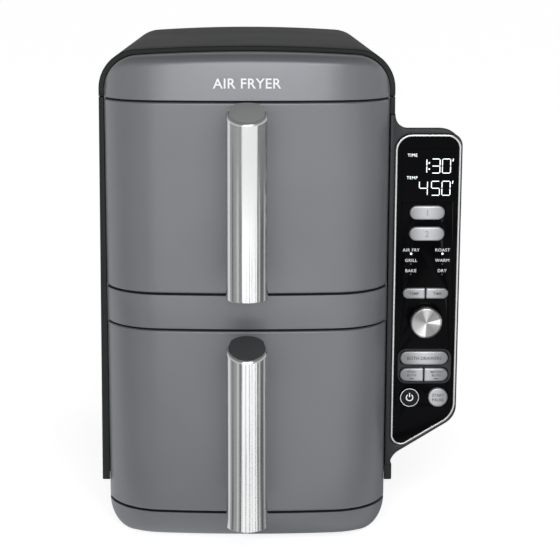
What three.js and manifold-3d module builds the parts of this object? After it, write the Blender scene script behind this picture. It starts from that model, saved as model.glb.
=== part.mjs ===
// Two-drawer worktop air fryer: two stacked frying drawers with upright bar handles, and a narrow
// control pod on the right flank. Millimetres, +Z up, front towards -Y, standing on z = 0.
//
// Everything is drawn around the middle of the cooking body (x = 0), its front face (y = 0) and the
// worktop (z = 0). The last lines move that origin to the middle of the whole footprint.

import * as THREE from 'three';
import { mergeVertices } from 'three/addons/utils/BufferGeometryUtils.js';
import Module from 'manifold-3d';

// ---------------------------------------------------------------- driving dimensions

const GAP = 0.3; // clearance between neighbouring pieces
const SHEET = 2.4; // wall of the outer casing
const HOUSING = {
  half: 114.5, front: 42, back: 404, top: 385.5, corner: 30, seam: 346.8, sill: 38.5, flare: 2.2,
};
const OVERALL = { front: -58, back: 412 };
const REAR_PANEL = { half: 104.5, bottom: 12, corner: 8, front: HOUSING.back - 6, back: HOUSING.back - 3 };
const VENT = { width: 104, height: 46, margin: 7, slotPitch: 9, slotHeight: 4.6, wall: 4 };
const BASE = { half: 108.4, bottom: 5, top: 44, back: REAR_PANEL.front - GAP, corner: 14, rearCorner: 6 };
const FEET = { x: 82, front: 72, rear: 372, height: 4.7, radius: 10.5 };
const CORD_INLET = { x: -80, z: 60, radius: 6.5 };
const DOME = { slope: 0.061, radius: 1340 }; // the shallow crown of the top

// Plan of the bowed front: one wide arc that runs into a tighter arc at each side.
const BOW = { radius: 660, corner: 48, half: 111.3, edge: 41, wall: 2.8 };
const FRAME = {
  half: 110.3, bottom: 4.5, top: 381.5, corner: 29, foot: 22, plate: 3.5, wall: 3.5, mouth: 101,
};
const FRAME_BACK = HOUSING.front + FRAME.plate;
const SEAM = 0.8; // half of the gap round a drawer front

const DRAWERS = {
  lower: { bottom: 25, top: 171.5, handle: [29.6, 174.4] },
  upper: { bottom: 199.4, top: 346.4, handle: [205, 348.8] },
};
const BASKET = { half: 97, front: 39.4, back: 334, corner: 18, wall: 1.5, drop: 12, lift: 9, flange: 104 };
const RACK = { width: 178, depth: 276, corner: 15, height: 12, plate: 2, stubX: 74, stubY: 118, stub: 4 };
const CAVITY = { half: 104.5, front: 46, back: 346, below: 3, above: 4.5, wall: 1.6, port: 62, runnerX: 78 };
const HANDLE = { radius: 15.5, y: OVERALL.front + 15.5, wall: 2, slant: 22.5, bridge: 8, cap: 3 };
const HANDLE_WRAP = 2.36; // the metal skin wraps round to 135 degrees each way, in radians

// Hot-air unit behind each cavity: radii round the fan shaft, and depths along it.
const FAN = { ring: 54, tube: 3.2, blades: 42, hub: 11, shaft: 3, bore: 3.6, guard: 66 };
const FAN_DEPTH = { shaft: 349, blades: 351, ring: 354, disc: 362.4, cooler: 379, shaftEnd: 394 };
const CHAMBER = { radius: 66, flange: 72, front: 346.4, back: 372, wall: 1.2, shaft: 5 };
const MOTOR = { radius: 23.5, front: 385.5, back: 397.4, strap: 18 };
const fanHeight = ({ bottom, top }) => (bottom + CAVITY.below + top + CAVITY.above) / 2;
const INSULATION = { half: 102, front: 52, back: 338, clearance: 2.5 };

const POD = { left: 114.8, right: 167.2, front: 41, back: 76, top: 322.1, cover: 4, corner: 17, taper: 3.4 };
const POD_SEAT = [50.8, 333]; // where the pod's flange starts and ends on the casing
const PANEL = { front: 40.4, back: 42.7, x: 140.7 };
const RING = { width: 1.6, proud: 0.6 };
const BOARD = { front: 54, thickness: 1.6, standoff: 2 };
const ENCODER = { half: 7, front: 43.2, back: 53.5, bore: 3.3 };
const DIAL = { z: 170.6, radius: 12.5, front: 29.5, stem: 3, back: 47 };
const KEY = { face: 39, back: 50.5, clearance: 0.35 };
const WINDOW = { z: 285.5, width: 41, height: 42, corner: 2 };

// Rows of pill-shaped keys. Two keys in a row share one window in the panel.
const KEY_ROWS = [
  { z: 256.6, width: 27.5, height: 11, keys: ['zone_1_button'] },
  { z: 239.9, width: 27.5, height: 11, keys: ['zone_2_button'] },
  { z: 192.3, width: 35.8, height: 8.6, keys: ['temperature_button', 'time_button'] },
  { z: 139.9, width: 37.9, height: 11, keys: ['both_zones_button'] },
  { z: 126.3, width: 38.1, height: 10.8, keys: ['finish_together_button', 'match_zones_button'] },
];
const KEY_SPLIT = 1.1; // gap between the two halves of a split row
const ROUND_KEYS = [
  { name: 'power_button', x: 129.7, z: 107.6, radius: 7.7 },
  { name: 'start_pause_button', x: 152.4, z: 107.6, radius: 7.7 },
];

// ---------------------------------------------------------------- materials

const finish = (color, roughness, metalness = 0, extra = {}) =>
  new THREE.MeshStandardMaterial({ color, roughness, metalness, ...extra });

const MATERIALS = {
  greyFront: () => finish(0x83868a, 0.45, 0.25),
  darkCasing: () => finish(0x3f4243, 0.5),
  podFrame: () => finish(0x3a3d3f, 0.45),
  glossBlack: () => finish(0x0c0d0f, 0.12),
  smokedLens: () => finish(0x101214, 0.05, 0, { transparent: true, opacity: 0.5 }),
  silver: () => finish(0xd2d4d6, 0.25, 0.9),
  key: () => finish(0xb9bcc0, 0.35, 0.5),
  blackKey: () => finish(0x17181a, 0.25),
  polishedSteel: () => finish(0xd8d8d6, 0.18, 1),
  darkPlastic: () => finish(0x34373a, 0.55),
  nonStick: () => finish(0x2a2b2c, 0.5, 0.3),
  aluminisedSteel: () => finish(0x9a9c9c, 0.45, 0.9),
  heaterSheath: () => finish(0x55504a, 0.5, 0.8),
  board: () => finish(0x1d5a33, 0.6),
  wool: () => finish(0xd9d4c4, 0.95),
  rubber: () => finish(0x1c1c1c, 0.85),
};

// ---------------------------------------------------------------- outlines

/** A counter-clockwise polygon of [x, y, radius] corners with its corners rounded, drawn in by inset. */
function outline(corners, inset = 0, steps = 5) {
  return corners.flatMap(([x, y, radius = 0, cornerSteps = steps], i) => {
    const before = corners.at(i - 1);
    const after = corners[(i + 1) % corners.length];
    const arriving = new THREE.Vector2(x - before[0], y - before[1]).normalize();
    const leaving = new THREE.Vector2(after[0] - x, after[1] - y).normalize();
    const inwardBefore = new THREE.Vector2(-arriving.y, arriving.x);
    const inwardAfter = new THREE.Vector2(-leaving.y, leaving.x);
    const reach = inset / (1 + inwardBefore.dot(inwardAfter));
    const corner = new THREE.Vector2(x, y)
      .addScaledVector(inwardBefore, reach)
      .addScaledVector(inwardAfter, reach);
    if (!radius) return [corner];

    const turn = Math.atan2(arriving.cross(leaving), arriving.dot(leaving));
    const bend = Math.max(radius - Math.sign(turn) * inset, 0.05);
    const centre = corner.clone()
      .addScaledVector(arriving, -bend * Math.tan(Math.abs(turn) / 2))
      .addScaledVector(inwardBefore, bend * Math.sign(turn));
    const spoke = inwardBefore.clone().multiplyScalar(-bend * Math.sign(turn));
    return Array.from({ length: cornerSteps + 1 }, (_, k) =>
      spoke.clone().rotateAround(new THREE.Vector2(), (turn * k) / cornerSteps).add(centre));
  });
}

/** Corners of a rectangle around (x, y); radii are one number, or one for the left and one for the right. */
function rectangle(x, y, width, height, radius = 0, rightRadius = radius) {
  return [
    [x - width / 2, y - height / 2, radius],
    [x + width / 2, y - height / 2, rightRadius],
    [x + width / 2, y + height / 2, rightRadius],
    [x - width / 2, y + height / 2, radius],
  ];
}

/** Corners of a panel with a gently crowned top, its highest point at exactly the given height. */
function crowned(half, bottom, top, topRadius, bottomRadius = 0) {
  const apex = top + DOME.radius * (Math.hypot(1, DOME.slope) - 1);
  const shoulder = apex - DOME.slope * half;
  return [
    [-half, bottom, bottomRadius, 6],
    [half, bottom, bottomRadius, 6],
    [half, shoulder, topRadius, 7],
    [0, apex, DOME.radius, 8],
    [-half, shoulder, topRadius, 7],
  ];
}

/** The bowed front in plan, drawn in by inset, and closed by a straight line at y = back. */
function bowed(inset, back) {
  const centreX = BOW.half - BOW.corner;
  const centreY = BOW.radius - Math.sqrt((BOW.radius - BOW.corner) ** 2 - centreX ** 2);
  const joint = Math.asin(centreX / (BOW.radius - BOW.corner));
  const reach = BOW.corner - inset;
  const end = Math.acos((centreY - back) / reach);
  const arc = (x, y, radius, from, to, steps) => Array.from({ length: steps + 1 }, (_, k) => {
    const angle = from + ((to - from) * k) / steps;
    return new THREE.Vector2(x + radius * Math.sin(angle), y - radius * Math.cos(angle));
  });
  return [
    ...arc(-centreX, centreY, reach, -end, -joint, 7),
    ...arc(0, BOW.radius, BOW.radius - inset, -joint, joint, 8).slice(1, -1),
    ...arc(centreX, centreY, reach, joint, end, 7),
  ];
}

// ---------------------------------------------------------------- solids

/** Shares the corners of a geometry, drops empty faces and turns it right side out. */
function closed(geometry) {
  geometry.deleteAttribute('normal');
  geometry.deleteAttribute('uv');
  const merged = mergeVertices(geometry, 1e-4);
  const points = merged.attributes.position;
  const corner = [0, 1, 2].map(() => new THREE.Vector3());
  const faces = [];
  let volume = 0;
  for (let i = 0; i < merged.index.count; i += 3) {
    const face = [0, 1, 2].map((k) => merged.index.getX(i + k));
    if (new Set(face).size < 3) continue;
    face.forEach((index, k) => corner[k].fromBufferAttribute(points, index));
    volume += corner[0].dot(corner[1].clone().cross(corner[2]));
    faces.push(face);
  }
  merged.setIndex(faces.flatMap((face) => (volume < 0 ? face.toReversed() : face)));
  return merged;
}

const wasm = await Module();
wasm.setup();

function toSolid(geometry) {
  const merged = closed(geometry.clone());
  return new wasm.Manifold(new wasm.Mesh({
    numProp: 3,
    vertProperties: new Float32Array(merged.attributes.position.array),
    triVerts: new Uint32Array(merged.index.array),
  }));
}

function toGeometry(solid) {
  const mesh = solid.getMesh();
  const geometry = new THREE.BufferGeometry();
  geometry.setAttribute('position', new THREE.BufferAttribute(mesh.vertProperties, 3));
  geometry.setIndex(new THREE.BufferAttribute(mesh.triVerts, 1));
  return geometry;
}

const combine = (operation, [first, ...others]) =>
  toGeometry(others.reduce((solid, other) => solid[operation](toSolid(other)), toSolid(first)));
const cut = (...geometries) => combine('subtract', geometries);
const join = (...geometries) => combine('add', geometries);
const common = (...geometries) => combine('intersect', geometries);

/** A prism of an (x, y) outline between two heights. */
function prismZ(points, low, high, holes = []) {
  const shape = new THREE.Shape(points);
  shape.holes = holes.map((hole) => new THREE.Path(hole));
  const geometry = new THREE.ExtrudeGeometry(shape, { depth: high - low, bevelEnabled: false });
  return geometry.translate(0, 0, low);
}

/** A prism of an (x, z) outline between two depths. */
function prismY(points, front, back, holes = []) {
  return prismZ(points, -back, -front, holes).rotateX(Math.PI / 2);
}

/** A skin over layers of matching outlines, each { at, points }, closed by flat ends; runs along +Z. */
function loftZ(layers) {
  const count = layers[0].points.length;
  const positions = layers.flatMap(({ at, points }) => points.flatMap((p) => [p.x, p.y, at]));
  const index = [];
  for (let layer = 0; layer < layers.length - 1; layer += 1) {
    for (let i = 0; i < count; i += 1) {
      const a = layer * count + i;
      const b = layer * count + ((i + 1) % count);
      index.push(a, b, b + count, a, b + count, a + count);
    }
  }
  const last = (layers.length - 1) * count;
  THREE.ShapeUtils.triangulateShape(layers[0].points, []).forEach(([a, b, c]) => index.push(a, c, b));
  THREE.ShapeUtils.triangulateShape(layers.at(-1).points, [])
    .forEach(([a, b, c]) => index.push(last + a, last + b, last + c));
  const geometry = new THREE.BufferGeometry();
  geometry.setAttribute('position', new THREE.Float32BufferAttribute(positions, 3));
  geometry.setIndex(index);
  return geometry;
}

/** The same skin with (x, z) outlines, running along +Y. */
function loftY(layers) {
  const turned = layers.map(({ at, points }) => ({ at: -at, points })).reverse();
  return loftZ(turned).rotateX(Math.PI / 2);
}

/** Layers of one shape: each step is [position, inset]. */
const layersOf = (draw, steps) => steps.map(([at, inset]) => ({ at, points: draw(inset) }));

function block(x, y, z) {
  const size = [x, y, z].map(([low, high]) => high - low);
  const middle = [x, y, z].map(([low, high]) => (low + high) / 2);
  return new THREE.BoxGeometry(...size).translate(...middle);
}

/** A turned piece round a line along Y through (x, z); the profile is [radius, y] pairs. */
function turnedY(x, z, profile, sides = 24) {
  const points = profile.map(([radius, y]) => new THREE.Vector2(radius, y));
  return new THREE.LatheGeometry(points, sides).translate(x, 0, z);
}

const rodY = (x, z, radius, front, back, sides = 24) =>
  turnedY(x, z, [[0, front], [radius, front], [radius, back], [0, back]], sides);

const mirrored = (points) => points.map((p) => new THREE.Vector2(-p.x, p.y)).reverse();

// ---------------------------------------------------------------- casing

function topCover() {
  const eaves = HOUSING.seam - 50;
  const roof = crowned(HOUSING.half, eaves, HOUSING.top, HOUSING.corner);
  const outer = loftY(layersOf((inset) => outline(roof, inset), [
    [HOUSING.front, 1.2], [HOUSING.front + 0.8, 0.3], [HOUSING.front + 2, 0],
    [HOUSING.back - 9, 0], [HOUSING.back - 4, 1], [HOUSING.back - 1.2, 3.4], [HOUSING.back, 6.5],
  ]));
  const aboveSeam = block([-200, 200], [0, 500], [HOUSING.seam + SEAM / 2, 400]);
  const mouth = crowned(FRAME.half, eaves, FRAME.top, FRAME.corner);
  const hollow = loftY(layersOf((inset) => outline(roof, SHEET + inset), [
    [FRAME_BACK, 0], [HOUSING.back - 9, 0], [HOUSING.back - 2 * SHEET, 2.4],
  ]));
  return cut(common(outer, aboveSeam), prismY(outline(mouth, -GAP), 0, FRAME_BACK + GAP), hollow);
}

/** Side wall, a little wider at its foot, with a lip behind the front frame and a return at the rear. */
function sidePanel(side) {
  const inner = HOUSING.half - SHEET;
  const lip = FRAME.half + GAP;
  const returnX = HOUSING.half - 16.5;
  const section = (flare) => {
    const points = outline([
      [lip, HOUSING.front],
      [HOUSING.half + flare, HOUSING.front, 2, 3],
      [HOUSING.half + flare, HOUSING.back, 9],
      [returnX, HOUSING.back],
      [returnX, HOUSING.back - SHEET],
      [inner, HOUSING.back - SHEET, 6.6],
      [inner, HOUSING.front + SHEET],
      [lip, HOUSING.front + SHEET],
    ]);
    return side > 0 ? points : mirrored(points);
  };
  const panel = loftZ([
    { at: HOUSING.sill, points: section(HOUSING.flare) },
    { at: HOUSING.seam - SEAM / 2, points: section(0) },
  ]);
  if (side < 0) return panel;
  const seat = [POD_SEAT[0] - GAP, POD_SEAT[1] + GAP];
  const podFlange = block([100, POD.left + GAP], [HOUSING.front - 2, POD.front + POD.cover + GAP], seat);
  const podWall = block([HOUSING.half, POD.left + 10], [HOUSING.front - 2, POD.back + 1], seat);
  return cut(panel, podFlange, podWall);
}

function rearPanel() {
  const { half, bottom, corner, front, back } = REAR_PANEL;
  const top = HOUSING.seam - 2;
  const vents = Object.values(DRAWERS).map((drawer) =>
    outline(rectangle(0, fanHeight(drawer), VENT.width, VENT.height, 4), 0, 2));
  const inlet = outline(rectangle(
    CORD_INLET.x, CORD_INLET.z, 2 * CORD_INLET.radius, 2 * CORD_INLET.radius, CORD_INLET.radius - 0.1), 0, 3);
  const plate = outline(rectangle(0, (bottom + top) / 2, 2 * half, top - bottom, corner), 0, 3);
  return prismY(plate, front, back, [...vents, inlet]);
}

/** Louvred cover over the opening in the rear panel that the motor's cooling air leaves by. */
function ventCover(z) {
  const [width, height] = [VENT.width + 2 * VENT.margin, VENT.height + 2 * VENT.margin];
  const slots = [-2, -1, 0, 1, 2].map((row) => prismY(
    outline(rectangle(0, z + row * VENT.slotPitch, VENT.width - 8, VENT.slotHeight, 2), 0, 1),
    REAR_PANEL.front, OVERALL.back + 5,
  ));
  const shell = loftY(layersOf((inset) => outline(rectangle(0, z, width, height, 8), inset, 3), [
    [REAR_PANEL.back + GAP, 0], [OVERALL.back - 2, 1], [OVERALL.back, 3],
  ]));
  const inside = outline(rectangle(0, z, width - 3 * VENT.wall, height - 3 * VENT.wall, 4), 0, 2);
  return cut(shell, prismY(inside, REAR_PANEL.front, OVERALL.back - VENT.wall), ...slots);
}

/** Bush that the mains lead leaves by, gripping both faces of the rear panel. */
function cordGland() {
  const { radius } = CORD_INLET;
  const [bore, neck, collar, sleeve] = [4, radius - 0.5, radius + 3, radius + 1];
  const face = REAR_PANEL.back + GAP;
  return turnedY(CORD_INLET.x, CORD_INLET.z, [
    [bore, REAR_PANEL.front - 4], [neck, REAR_PANEL.front - 4], [neck, face], [collar, face],
    [collar, face + 2.2], [sleeve, face + 6.7], [bore, face + 6.7], [bore, REAR_PANEL.front - 4],
  ], 16);
}

function basePan() {
  const front = FRAME_BACK + GAP;
  const plan = (inset) => outline([
    [-BASE.half, front, BASE.corner], [BASE.half, front, BASE.corner],
    [BASE.half, BASE.back, BASE.rearCorner], [-BASE.half, BASE.back, BASE.rearCorner],
  ], inset);
  const outer = loftZ(layersOf(plan, [
    [BASE.bottom, 4], [BASE.bottom + 1.5, 1.2], [BASE.bottom + 4, 0], [BASE.top, 0],
  ]));
  const hollow = loftZ(layersOf(plan, [
    [BASE.bottom + SHEET, 6], [BASE.bottom + 4 + SHEET, SHEET], [BASE.top + 2, SHEET],
  ]));
  const sill = DRAWERS.lower.bottom + CAVITY.below - GAP;
  const doorHalf = CAVITY.half + 0.5;
  const doorway = block([-doorHalf, doorHalf], [front - 5, front + 14], [sill, BASE.top + 6]);
  return cut(outer, hollow, doorway);
}

function foot(x, y) {
  const { radius, height } = FEET;
  const profile = [[0, 0], [radius - 2, 0], [radius, 1.2], [radius - 1, height], [0, height]];
  const points = profile.map(([r, z]) => new THREE.Vector2(r, z));
  return new THREE.LatheGeometry(points, 16).rotateX(Math.PI / 2).translate(x, y, 0);
}

/** Grey front: a back plate with two drawer mouths, and the bowed strips above, between and below them. */
function frontFrame() {
  const edge = crowned(FRAME.half, FRAME.bottom, FRAME.top, FRAME.corner, FRAME.foot);
  const { lower, upper } = DRAWERS;
  const mouths = [lower, upper].map(({ bottom, top }) =>
    outline(rectangle(0, (bottom + top) / 2 + 0.5, 2 * FRAME.mouth, top - bottom - 11, 6)));
  const plate = prismY(outline(edge), HOUSING.front, FRAME_BACK, mouths);
  const strips = [
    [[FRAME.bottom, 1.2], [FRAME.bottom + 1.2, 0], [lower.bottom - SEAM, 0]],
    [[lower.top + SEAM, 0.4], [lower.top + SEAM + 0.6, 0],
      [upper.bottom - SEAM - 0.6, 0], [upper.bottom - SEAM, 0.4]],
    [[upper.top + SEAM, 0.4], [upper.top + SEAM + 0.6, 0], [FRAME.top - 9.5, 0.8], [FRAME.top - 5.5, 2.6],
      [FRAME.top - 2.5, 6], [FRAME.top - 0.9, 9.6], [FRAME.top, 14]],
  ].map((steps) => loftZ(layersOf((inset) => bowed(inset, HOUSING.front + 0.4), steps)));
  const trimmed = strips.map((strip) => common(strip, prismY(outline(edge), -10, 60)));
  const hollows = [
    [FRAME.bottom + 3, lower.bottom - FRAME.wall, 84],
    [lower.top + FRAME.wall, upper.bottom - FRAME.wall, 98],
    [upper.top + FRAME.wall, FRAME.top - 8, 92],
  ].map(([low, high, half]) => common(
    prismZ(bowed(3, FRAME_BACK + 1), low, high),
    block([-half, half], [-5, 60], [low - 1, high + 1]),
  ));
  return cut(join(plate, ...trimmed), ...hollows);
}

// ---------------------------------------------------------------- cavities and hot air

/** Sheet-metal box that a drawer slides into, with two runners and a port for the hot air. */
function cavityLiner({ bottom, top }) {
  const [low, high] = [bottom + CAVITY.below, top + CAVITY.above];
  const outer = block([-CAVITY.half, CAVITY.half], [CAVITY.front, CAVITY.back], [low, high]);
  const inner = block(
    [-CAVITY.half + CAVITY.wall, CAVITY.half - CAVITY.wall],
    [CAVITY.front - 1, CAVITY.back - CAVITY.wall],
    [low + CAVITY.wall, high - CAVITY.wall],
  );
  const port = rodY(0, (low + high) / 2, CAVITY.port, CAVITY.back - 6, CAVITY.back + 4, 28);
  const runnerTop = bottom + BASKET.lift - GAP - 0.2;
  const runners = [-CAVITY.runnerX, CAVITY.runnerX].map((x) =>
    block([x - 3, x + 3], [CAVITY.front + 14, CAVITY.back - 16], [low + CAVITY.wall / 2, runnerTop]));
  return join(cut(outer, inner, port), ...runners);
}

/** Disc with radial slots between the fan and the food. */
function fanGuard(z) {
  const slotCount = 12;
  const back = CAVITY.back - CAVITY.wall - 1.4;
  const onDisc = (x, y, turn) => new THREE.Vector2(x, y).rotateAround(new THREE.Vector2(), turn)
    .add(new THREE.Vector2(0, z));
  const rim = Array.from({ length: 24 }, (_, k) => onDisc(FAN.guard, 0, (k * Math.PI) / 12));
  const slots = Array.from({ length: slotCount }, (_, k) =>
    outline(rectangle(37, 0, 38, 6)).map(({ x, y }) => onDisc(x, y, ((k + 0.5) * 2 * Math.PI) / slotCount)));
  return prismY(rim, back - 1.6, back, slots);
}

function heatChamber(z) {
  const { radius, flange, front, back, wall, shaft } = CHAMBER;
  return turnedY(0, z, [
    [shaft, back - wall], [radius - wall, back - wall], [radius - wall, front], [flange, front],
    [flange, front + wall], [radius, front + wall], [radius, back], [shaft, back], [shaft, back - wall],
  ], 20);
}

/** One turn of sheathed heating element round the fan, with both tails leaving through the rear. */
function heater(z) {
  const steps = 14;
  const opening = 0.44;
  const lap = Array.from({ length: steps + 1 }, (_, k) => {
    const angle = -Math.PI / 2 + opening / 2 + (k / steps) * (2 * Math.PI - opening);
    return new THREE.Vector3(FAN.ring * Math.cos(angle), FAN_DEPTH.ring, z + FAN.ring * Math.sin(angle));
  });
  const tailDepths = [CHAMBER.back - 2.2, FAN_DEPTH.ring + 7];
  const tail = (x) => tailDepths.map((y) => new THREE.Vector3(x, y, z - FAN.ring));
  const path = new THREE.CatmullRomCurve3([...tail(6), ...lap, ...tail(-6).reverse()]);
  const section = new THREE.Shape(Array.from({ length: 6 }, (_, k) =>
    new THREE.Vector2(FAN.tube, 0).rotateAround(new THREE.Vector2(), (k * Math.PI) / 3)));
  return new THREE.ExtrudeGeometry(section, { steps: 36, extrudePath: path, bevelEnabled: false });
}

/** Hot-air blower and motor-cooling fan on one shaft. */
function fanRotor(z) {
  const bladeDepths = [FAN_DEPTH.blades, FAN_DEPTH.disc + 0.6];
  const blades = Array.from({ length: 6 }, (_, k) =>
    block([FAN.hub - 2, FAN.blades - 0.6], bladeDepths, [-0.8, 0.8])
      .rotateY((k * Math.PI) / 3).translate(0, 0, z));
  const pitch = 0.55;
  const vanes = Array.from({ length: 5 }, (_, k) => new THREE.BoxGeometry(28, 1.4, 12).rotateX(pitch)
    .translate(21, FAN_DEPTH.cooler, 0).rotateY((k * 2 * Math.PI) / 5).translate(0, 0, z));
  return join(
    rodY(0, z, FAN.shaft, FAN_DEPTH.shaft, FAN_DEPTH.shaftEnd, 10),
    rodY(0, z, FAN.blades, FAN_DEPTH.disc, FAN_DEPTH.disc + 1.6, 20),
    rodY(0, z, FAN.hub, ...bladeDepths, 12),
    rodY(0, z, FAN.hub - 2, FAN_DEPTH.cooler - 3.5, FAN_DEPTH.cooler + 3.5, 12),
    ...blades,
    ...vanes,
  );
}

/** Motor with the hat-shaped strap that holds it off the heat chamber. */
function fanMotor(z) {
  const [low, high, sheet] = [CHAMBER.back + GAP, MOTOR.front - 1, 1.5];
  const crest = 46;
  const slope = 4.4;
  const half = [
    [crest, high], [crest + slope, low], [63, low],
    [63, low + sheet], [crest + slope + 1, low + sheet], [crest + 1, high + sheet],
  ];
  const strap = outline([...half, ...half.map(([x, y]) => [-x, y]).reverse()]);
  const bar = prismZ(strap, z - MOTOR.strap / 2, z + MOTOR.strap / 2);
  const can = turnedY(0, z, [
    [0, MOTOR.front], [MOTOR.radius - 1.5, MOTOR.front], [MOTOR.radius, MOTOR.front + 1.5],
    [MOTOR.radius, MOTOR.back - 1.4], [MOTOR.radius - 2.5, MOTOR.back], [0, MOTOR.back],
  ], 24);
  return cut(join(bar, can), rodY(0, z, FAN.bore, FAN_DEPTH.cooler, FAN_DEPTH.shaftEnd + 1, 12));
}

const midInsulation = () => block(
  [-INSULATION.half, INSULATION.half],
  [INSULATION.front, INSULATION.back],
  [
    DRAWERS.lower.top + CAVITY.above + INSULATION.clearance,
    DRAWERS.upper.bottom + CAVITY.below - INSULATION.clearance,
  ],
);

/** Mains board under the lower cavity: relays and a transformer, two capacitors and four pillars. */
function powerBoard() {
  const under = 12;
  const board = block([-60, 60], [118, 236], [under, under + 1.6]);
  const parts = [
    block([-48, -26], [132, 158], [under + 1, 25]),
    block([-14, 2], [130, 150], [under + 1, 24]),
    block([14, 46], [134, 166], [under + 1, 24.5]),
    block([-46, -12], [182, 214], [under + 1, 22]),
  ];
  const upright = (radius, height, sides, x, y, z) =>
    new THREE.CylinderGeometry(radius, radius, height, sides).rotateX(Math.PI / 2).translate(x, y, z);
  const capacitors = [[22, 200], [42, 200]].map(([x, y]) => upright(7, 12, 12, x, y, under + 6.6));
  const pillars = [-54, 54].flatMap((x) => [124, 230].map((y) => upright(3, 4.6, 6, x, y, under - 2)));
  return join(board, ...parts, ...capacitors, ...pillars);
}

// ---------------------------------------------------------------- drawers

function drawerFront({ bottom, top }) {
  const [low, high] = [bottom + SEAM, top - SEAM];
  const outer = loftZ(layersOf((inset) => bowed(inset, BOW.edge), [
    [low, 1.4], [low + 0.4, 0.4], [low + 1.4, 0], [high - 1.4, 0], [high - 0.4, 0.4], [high, 1.4],
  ]));
  return cut(outer, prismZ(bowed(BOW.wall, BOW.edge + 1), low + BOW.wall, high - BOW.wall));
}

function basket({ bottom, top }) {
  const [low, high] = [bottom + BASKET.lift, top - BASKET.drop];
  const depth = BASKET.back - BASKET.front;
  const tub = rectangle(0, (BASKET.front + BASKET.back) / 2, 2 * BASKET.half, depth, BASKET.corner);
  const plan = (inset) => outline(tub, inset);
  const outer = loftZ(layersOf(plan, [
    [low, 10], [low + 2, 5.5], [low + 7, 3], [high - 2, 1.6], [high - 2, 0], [high, 0],
  ]));
  const inner = loftZ(layersOf((inset) => plan(inset + BASKET.wall), [
    [low + BASKET.wall, 10], [low + BASKET.wall + 2, 5.5], [low + 7, 3], [high + 1, 1.6],
  ]));
  const flange = block(
    [-BASKET.flange, BASKET.flange], [BASKET.front - 1.4, BASKET.front + 0.6], [low - 4, high + 7]);
  return cut(join(outer, flange), inner);
}

/** Removable rack of the basket, pierced with rows of slots and standing on four stubs. */
function crisperPlate({ bottom }) {
  const floor = bottom + BASKET.lift + BASKET.wall;
  const [low, high] = [floor + RACK.height, floor + RACK.height + RACK.plate];
  const middle = (BASKET.front + BASKET.back) / 2;
  const plan = outline(rectangle(0, middle, RACK.width, RACK.depth, RACK.corner));
  const slots = [-2, -1, 0, 1, 2].flatMap((column) => [-1, 0, 1].map((row) =>
    outline(rectangle(column * 30, middle + row * 84, 7, 66, 3), 0, 1)));
  const stubHeight = RACK.height + 0.2;
  const stubs = [-RACK.stubX, RACK.stubX].flatMap((x) => [-RACK.stubY, RACK.stubY].map((y) =>
    new THREE.CylinderGeometry(RACK.stub, RACK.stub - 0.6, stubHeight, 8).rotateX(Math.PI / 2)
      .translate(x, middle + y, floor + GAP + stubHeight / 2)));
  return join(prismZ(plan, low, high, slots), ...stubs);
}

/** Everything under a plane that slopes down to the front, through the handle's back edge at a height. */
function underSlant(height) {
  const back = HANDLE.y + HANDLE.radius;
  return new THREE.BoxGeometry(80, 200, 400).translate(0, 0, -200)
    .rotateX(THREE.MathUtils.degToRad(HANDLE.slant)).translate(0, back, height);
}

/** Points of a circle's arc round the handle's line; angles are from the front, in radians. */
const handleArc = (radius, from, to, steps) => Array.from({ length: steps + 1 }, (_, k) => {
  const angle = from + ((to - from) * k) / steps;
  return new THREE.Vector2(radius * Math.sin(angle), HANDLE.y - radius * Math.cos(angle));
});

/** The plastic post inside the metal skin, as an outline. */
const handlePost = () => handleArc(HANDLE.radius - HANDLE.wall - GAP, -Math.PI, Math.PI, 20).slice(1);

function handleShell({ handle: [low, high] }) {
  const section = [
    ...handleArc(HANDLE.radius, -HANDLE_WRAP, HANDLE_WRAP, 24),
    ...handleArc(HANDLE.radius - HANDLE.wall, HANDLE_WRAP, -HANDLE_WRAP, 24),
  ];
  return common(prismZ(section, low, high + 5), underSlant(high));
}

function handleCore({ handle: [low, high] }) {
  const post = prismZ(handlePost(), low + 1, high);
  const bridges = [[low + 6, low + 28], [high - 44, high - 20]].map((heights) =>
    block([-HANDLE.bridge, HANDLE.bridge], [HANDLE.y, -GAP], heights));
  return common(join(post, ...bridges), underSlant(high - HANDLE.cap));
}

function handleCap({ handle: [, high] }) {
  const post = prismZ(handlePost(), high - 40, high + 5);
  return cut(common(post, underSlant(high - 0.8)), underSlant(high - HANDLE.cap + GAP + 0.05));
}

// ---------------------------------------------------------------- control pod

/** The pod seen from the front, with the concave sweeps where it meets the body, drawn in by taper. */
const podOutline = (taper) => [
  [POD.left, POD_SEAT[0] + taper],
  [POD.left + 0.8, 58.7 + taper, 15],
  [POD.right - taper, 91 + taper, POD.corner],
  [POD.right - taper, POD.top - taper, POD.corner],
  [POD.left + 0.4, POD.top - taper, 10.4],
  [POD.left, POD_SEAT[1] - taper],
];
const podCavity = (taper) => [
  [117.2, 63 + taper, 3, 2],
  [164.8 - taper, 92.6 + taper, 15],
  [164.8 - taper, 319.7 - taper, 14.6],
  [117.2, 319.7 - taper, 3, 2],
];
const trimOutline = [[115.2, 61.8, 8], [166.1, 92.7, 19], [166.1, 317.7, 11], [115.2, 317.7, 13]];

/** Front rim with a flange behind the casing's lip, and a wall that draws in towards the rear. */
function podShell() {
  const seat = FRAME.half + 2 * GAP;
  const flange = [[seat, POD_SEAT[0]], ...podOutline(0), [seat, POD_SEAT[1]]];
  const rim = prismY(outline(flange), POD.front, POD.front + POD.cover, [outline(trimOutline, -GAP)]);
  const [front, back] = [POD.front + 2, POD.back - POD.cover];
  const tapered = (draw, spare) => loftY(layersOf((taper) => outline(draw(taper)), [
    [front - spare, 0], [front + 11, 0.5], [front + 18, 1.6], [back + spare, POD.taper],
  ]));
  return join(rim, cut(tapered(podOutline, 0), tapered(podCavity, 0.5)));
}

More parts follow.
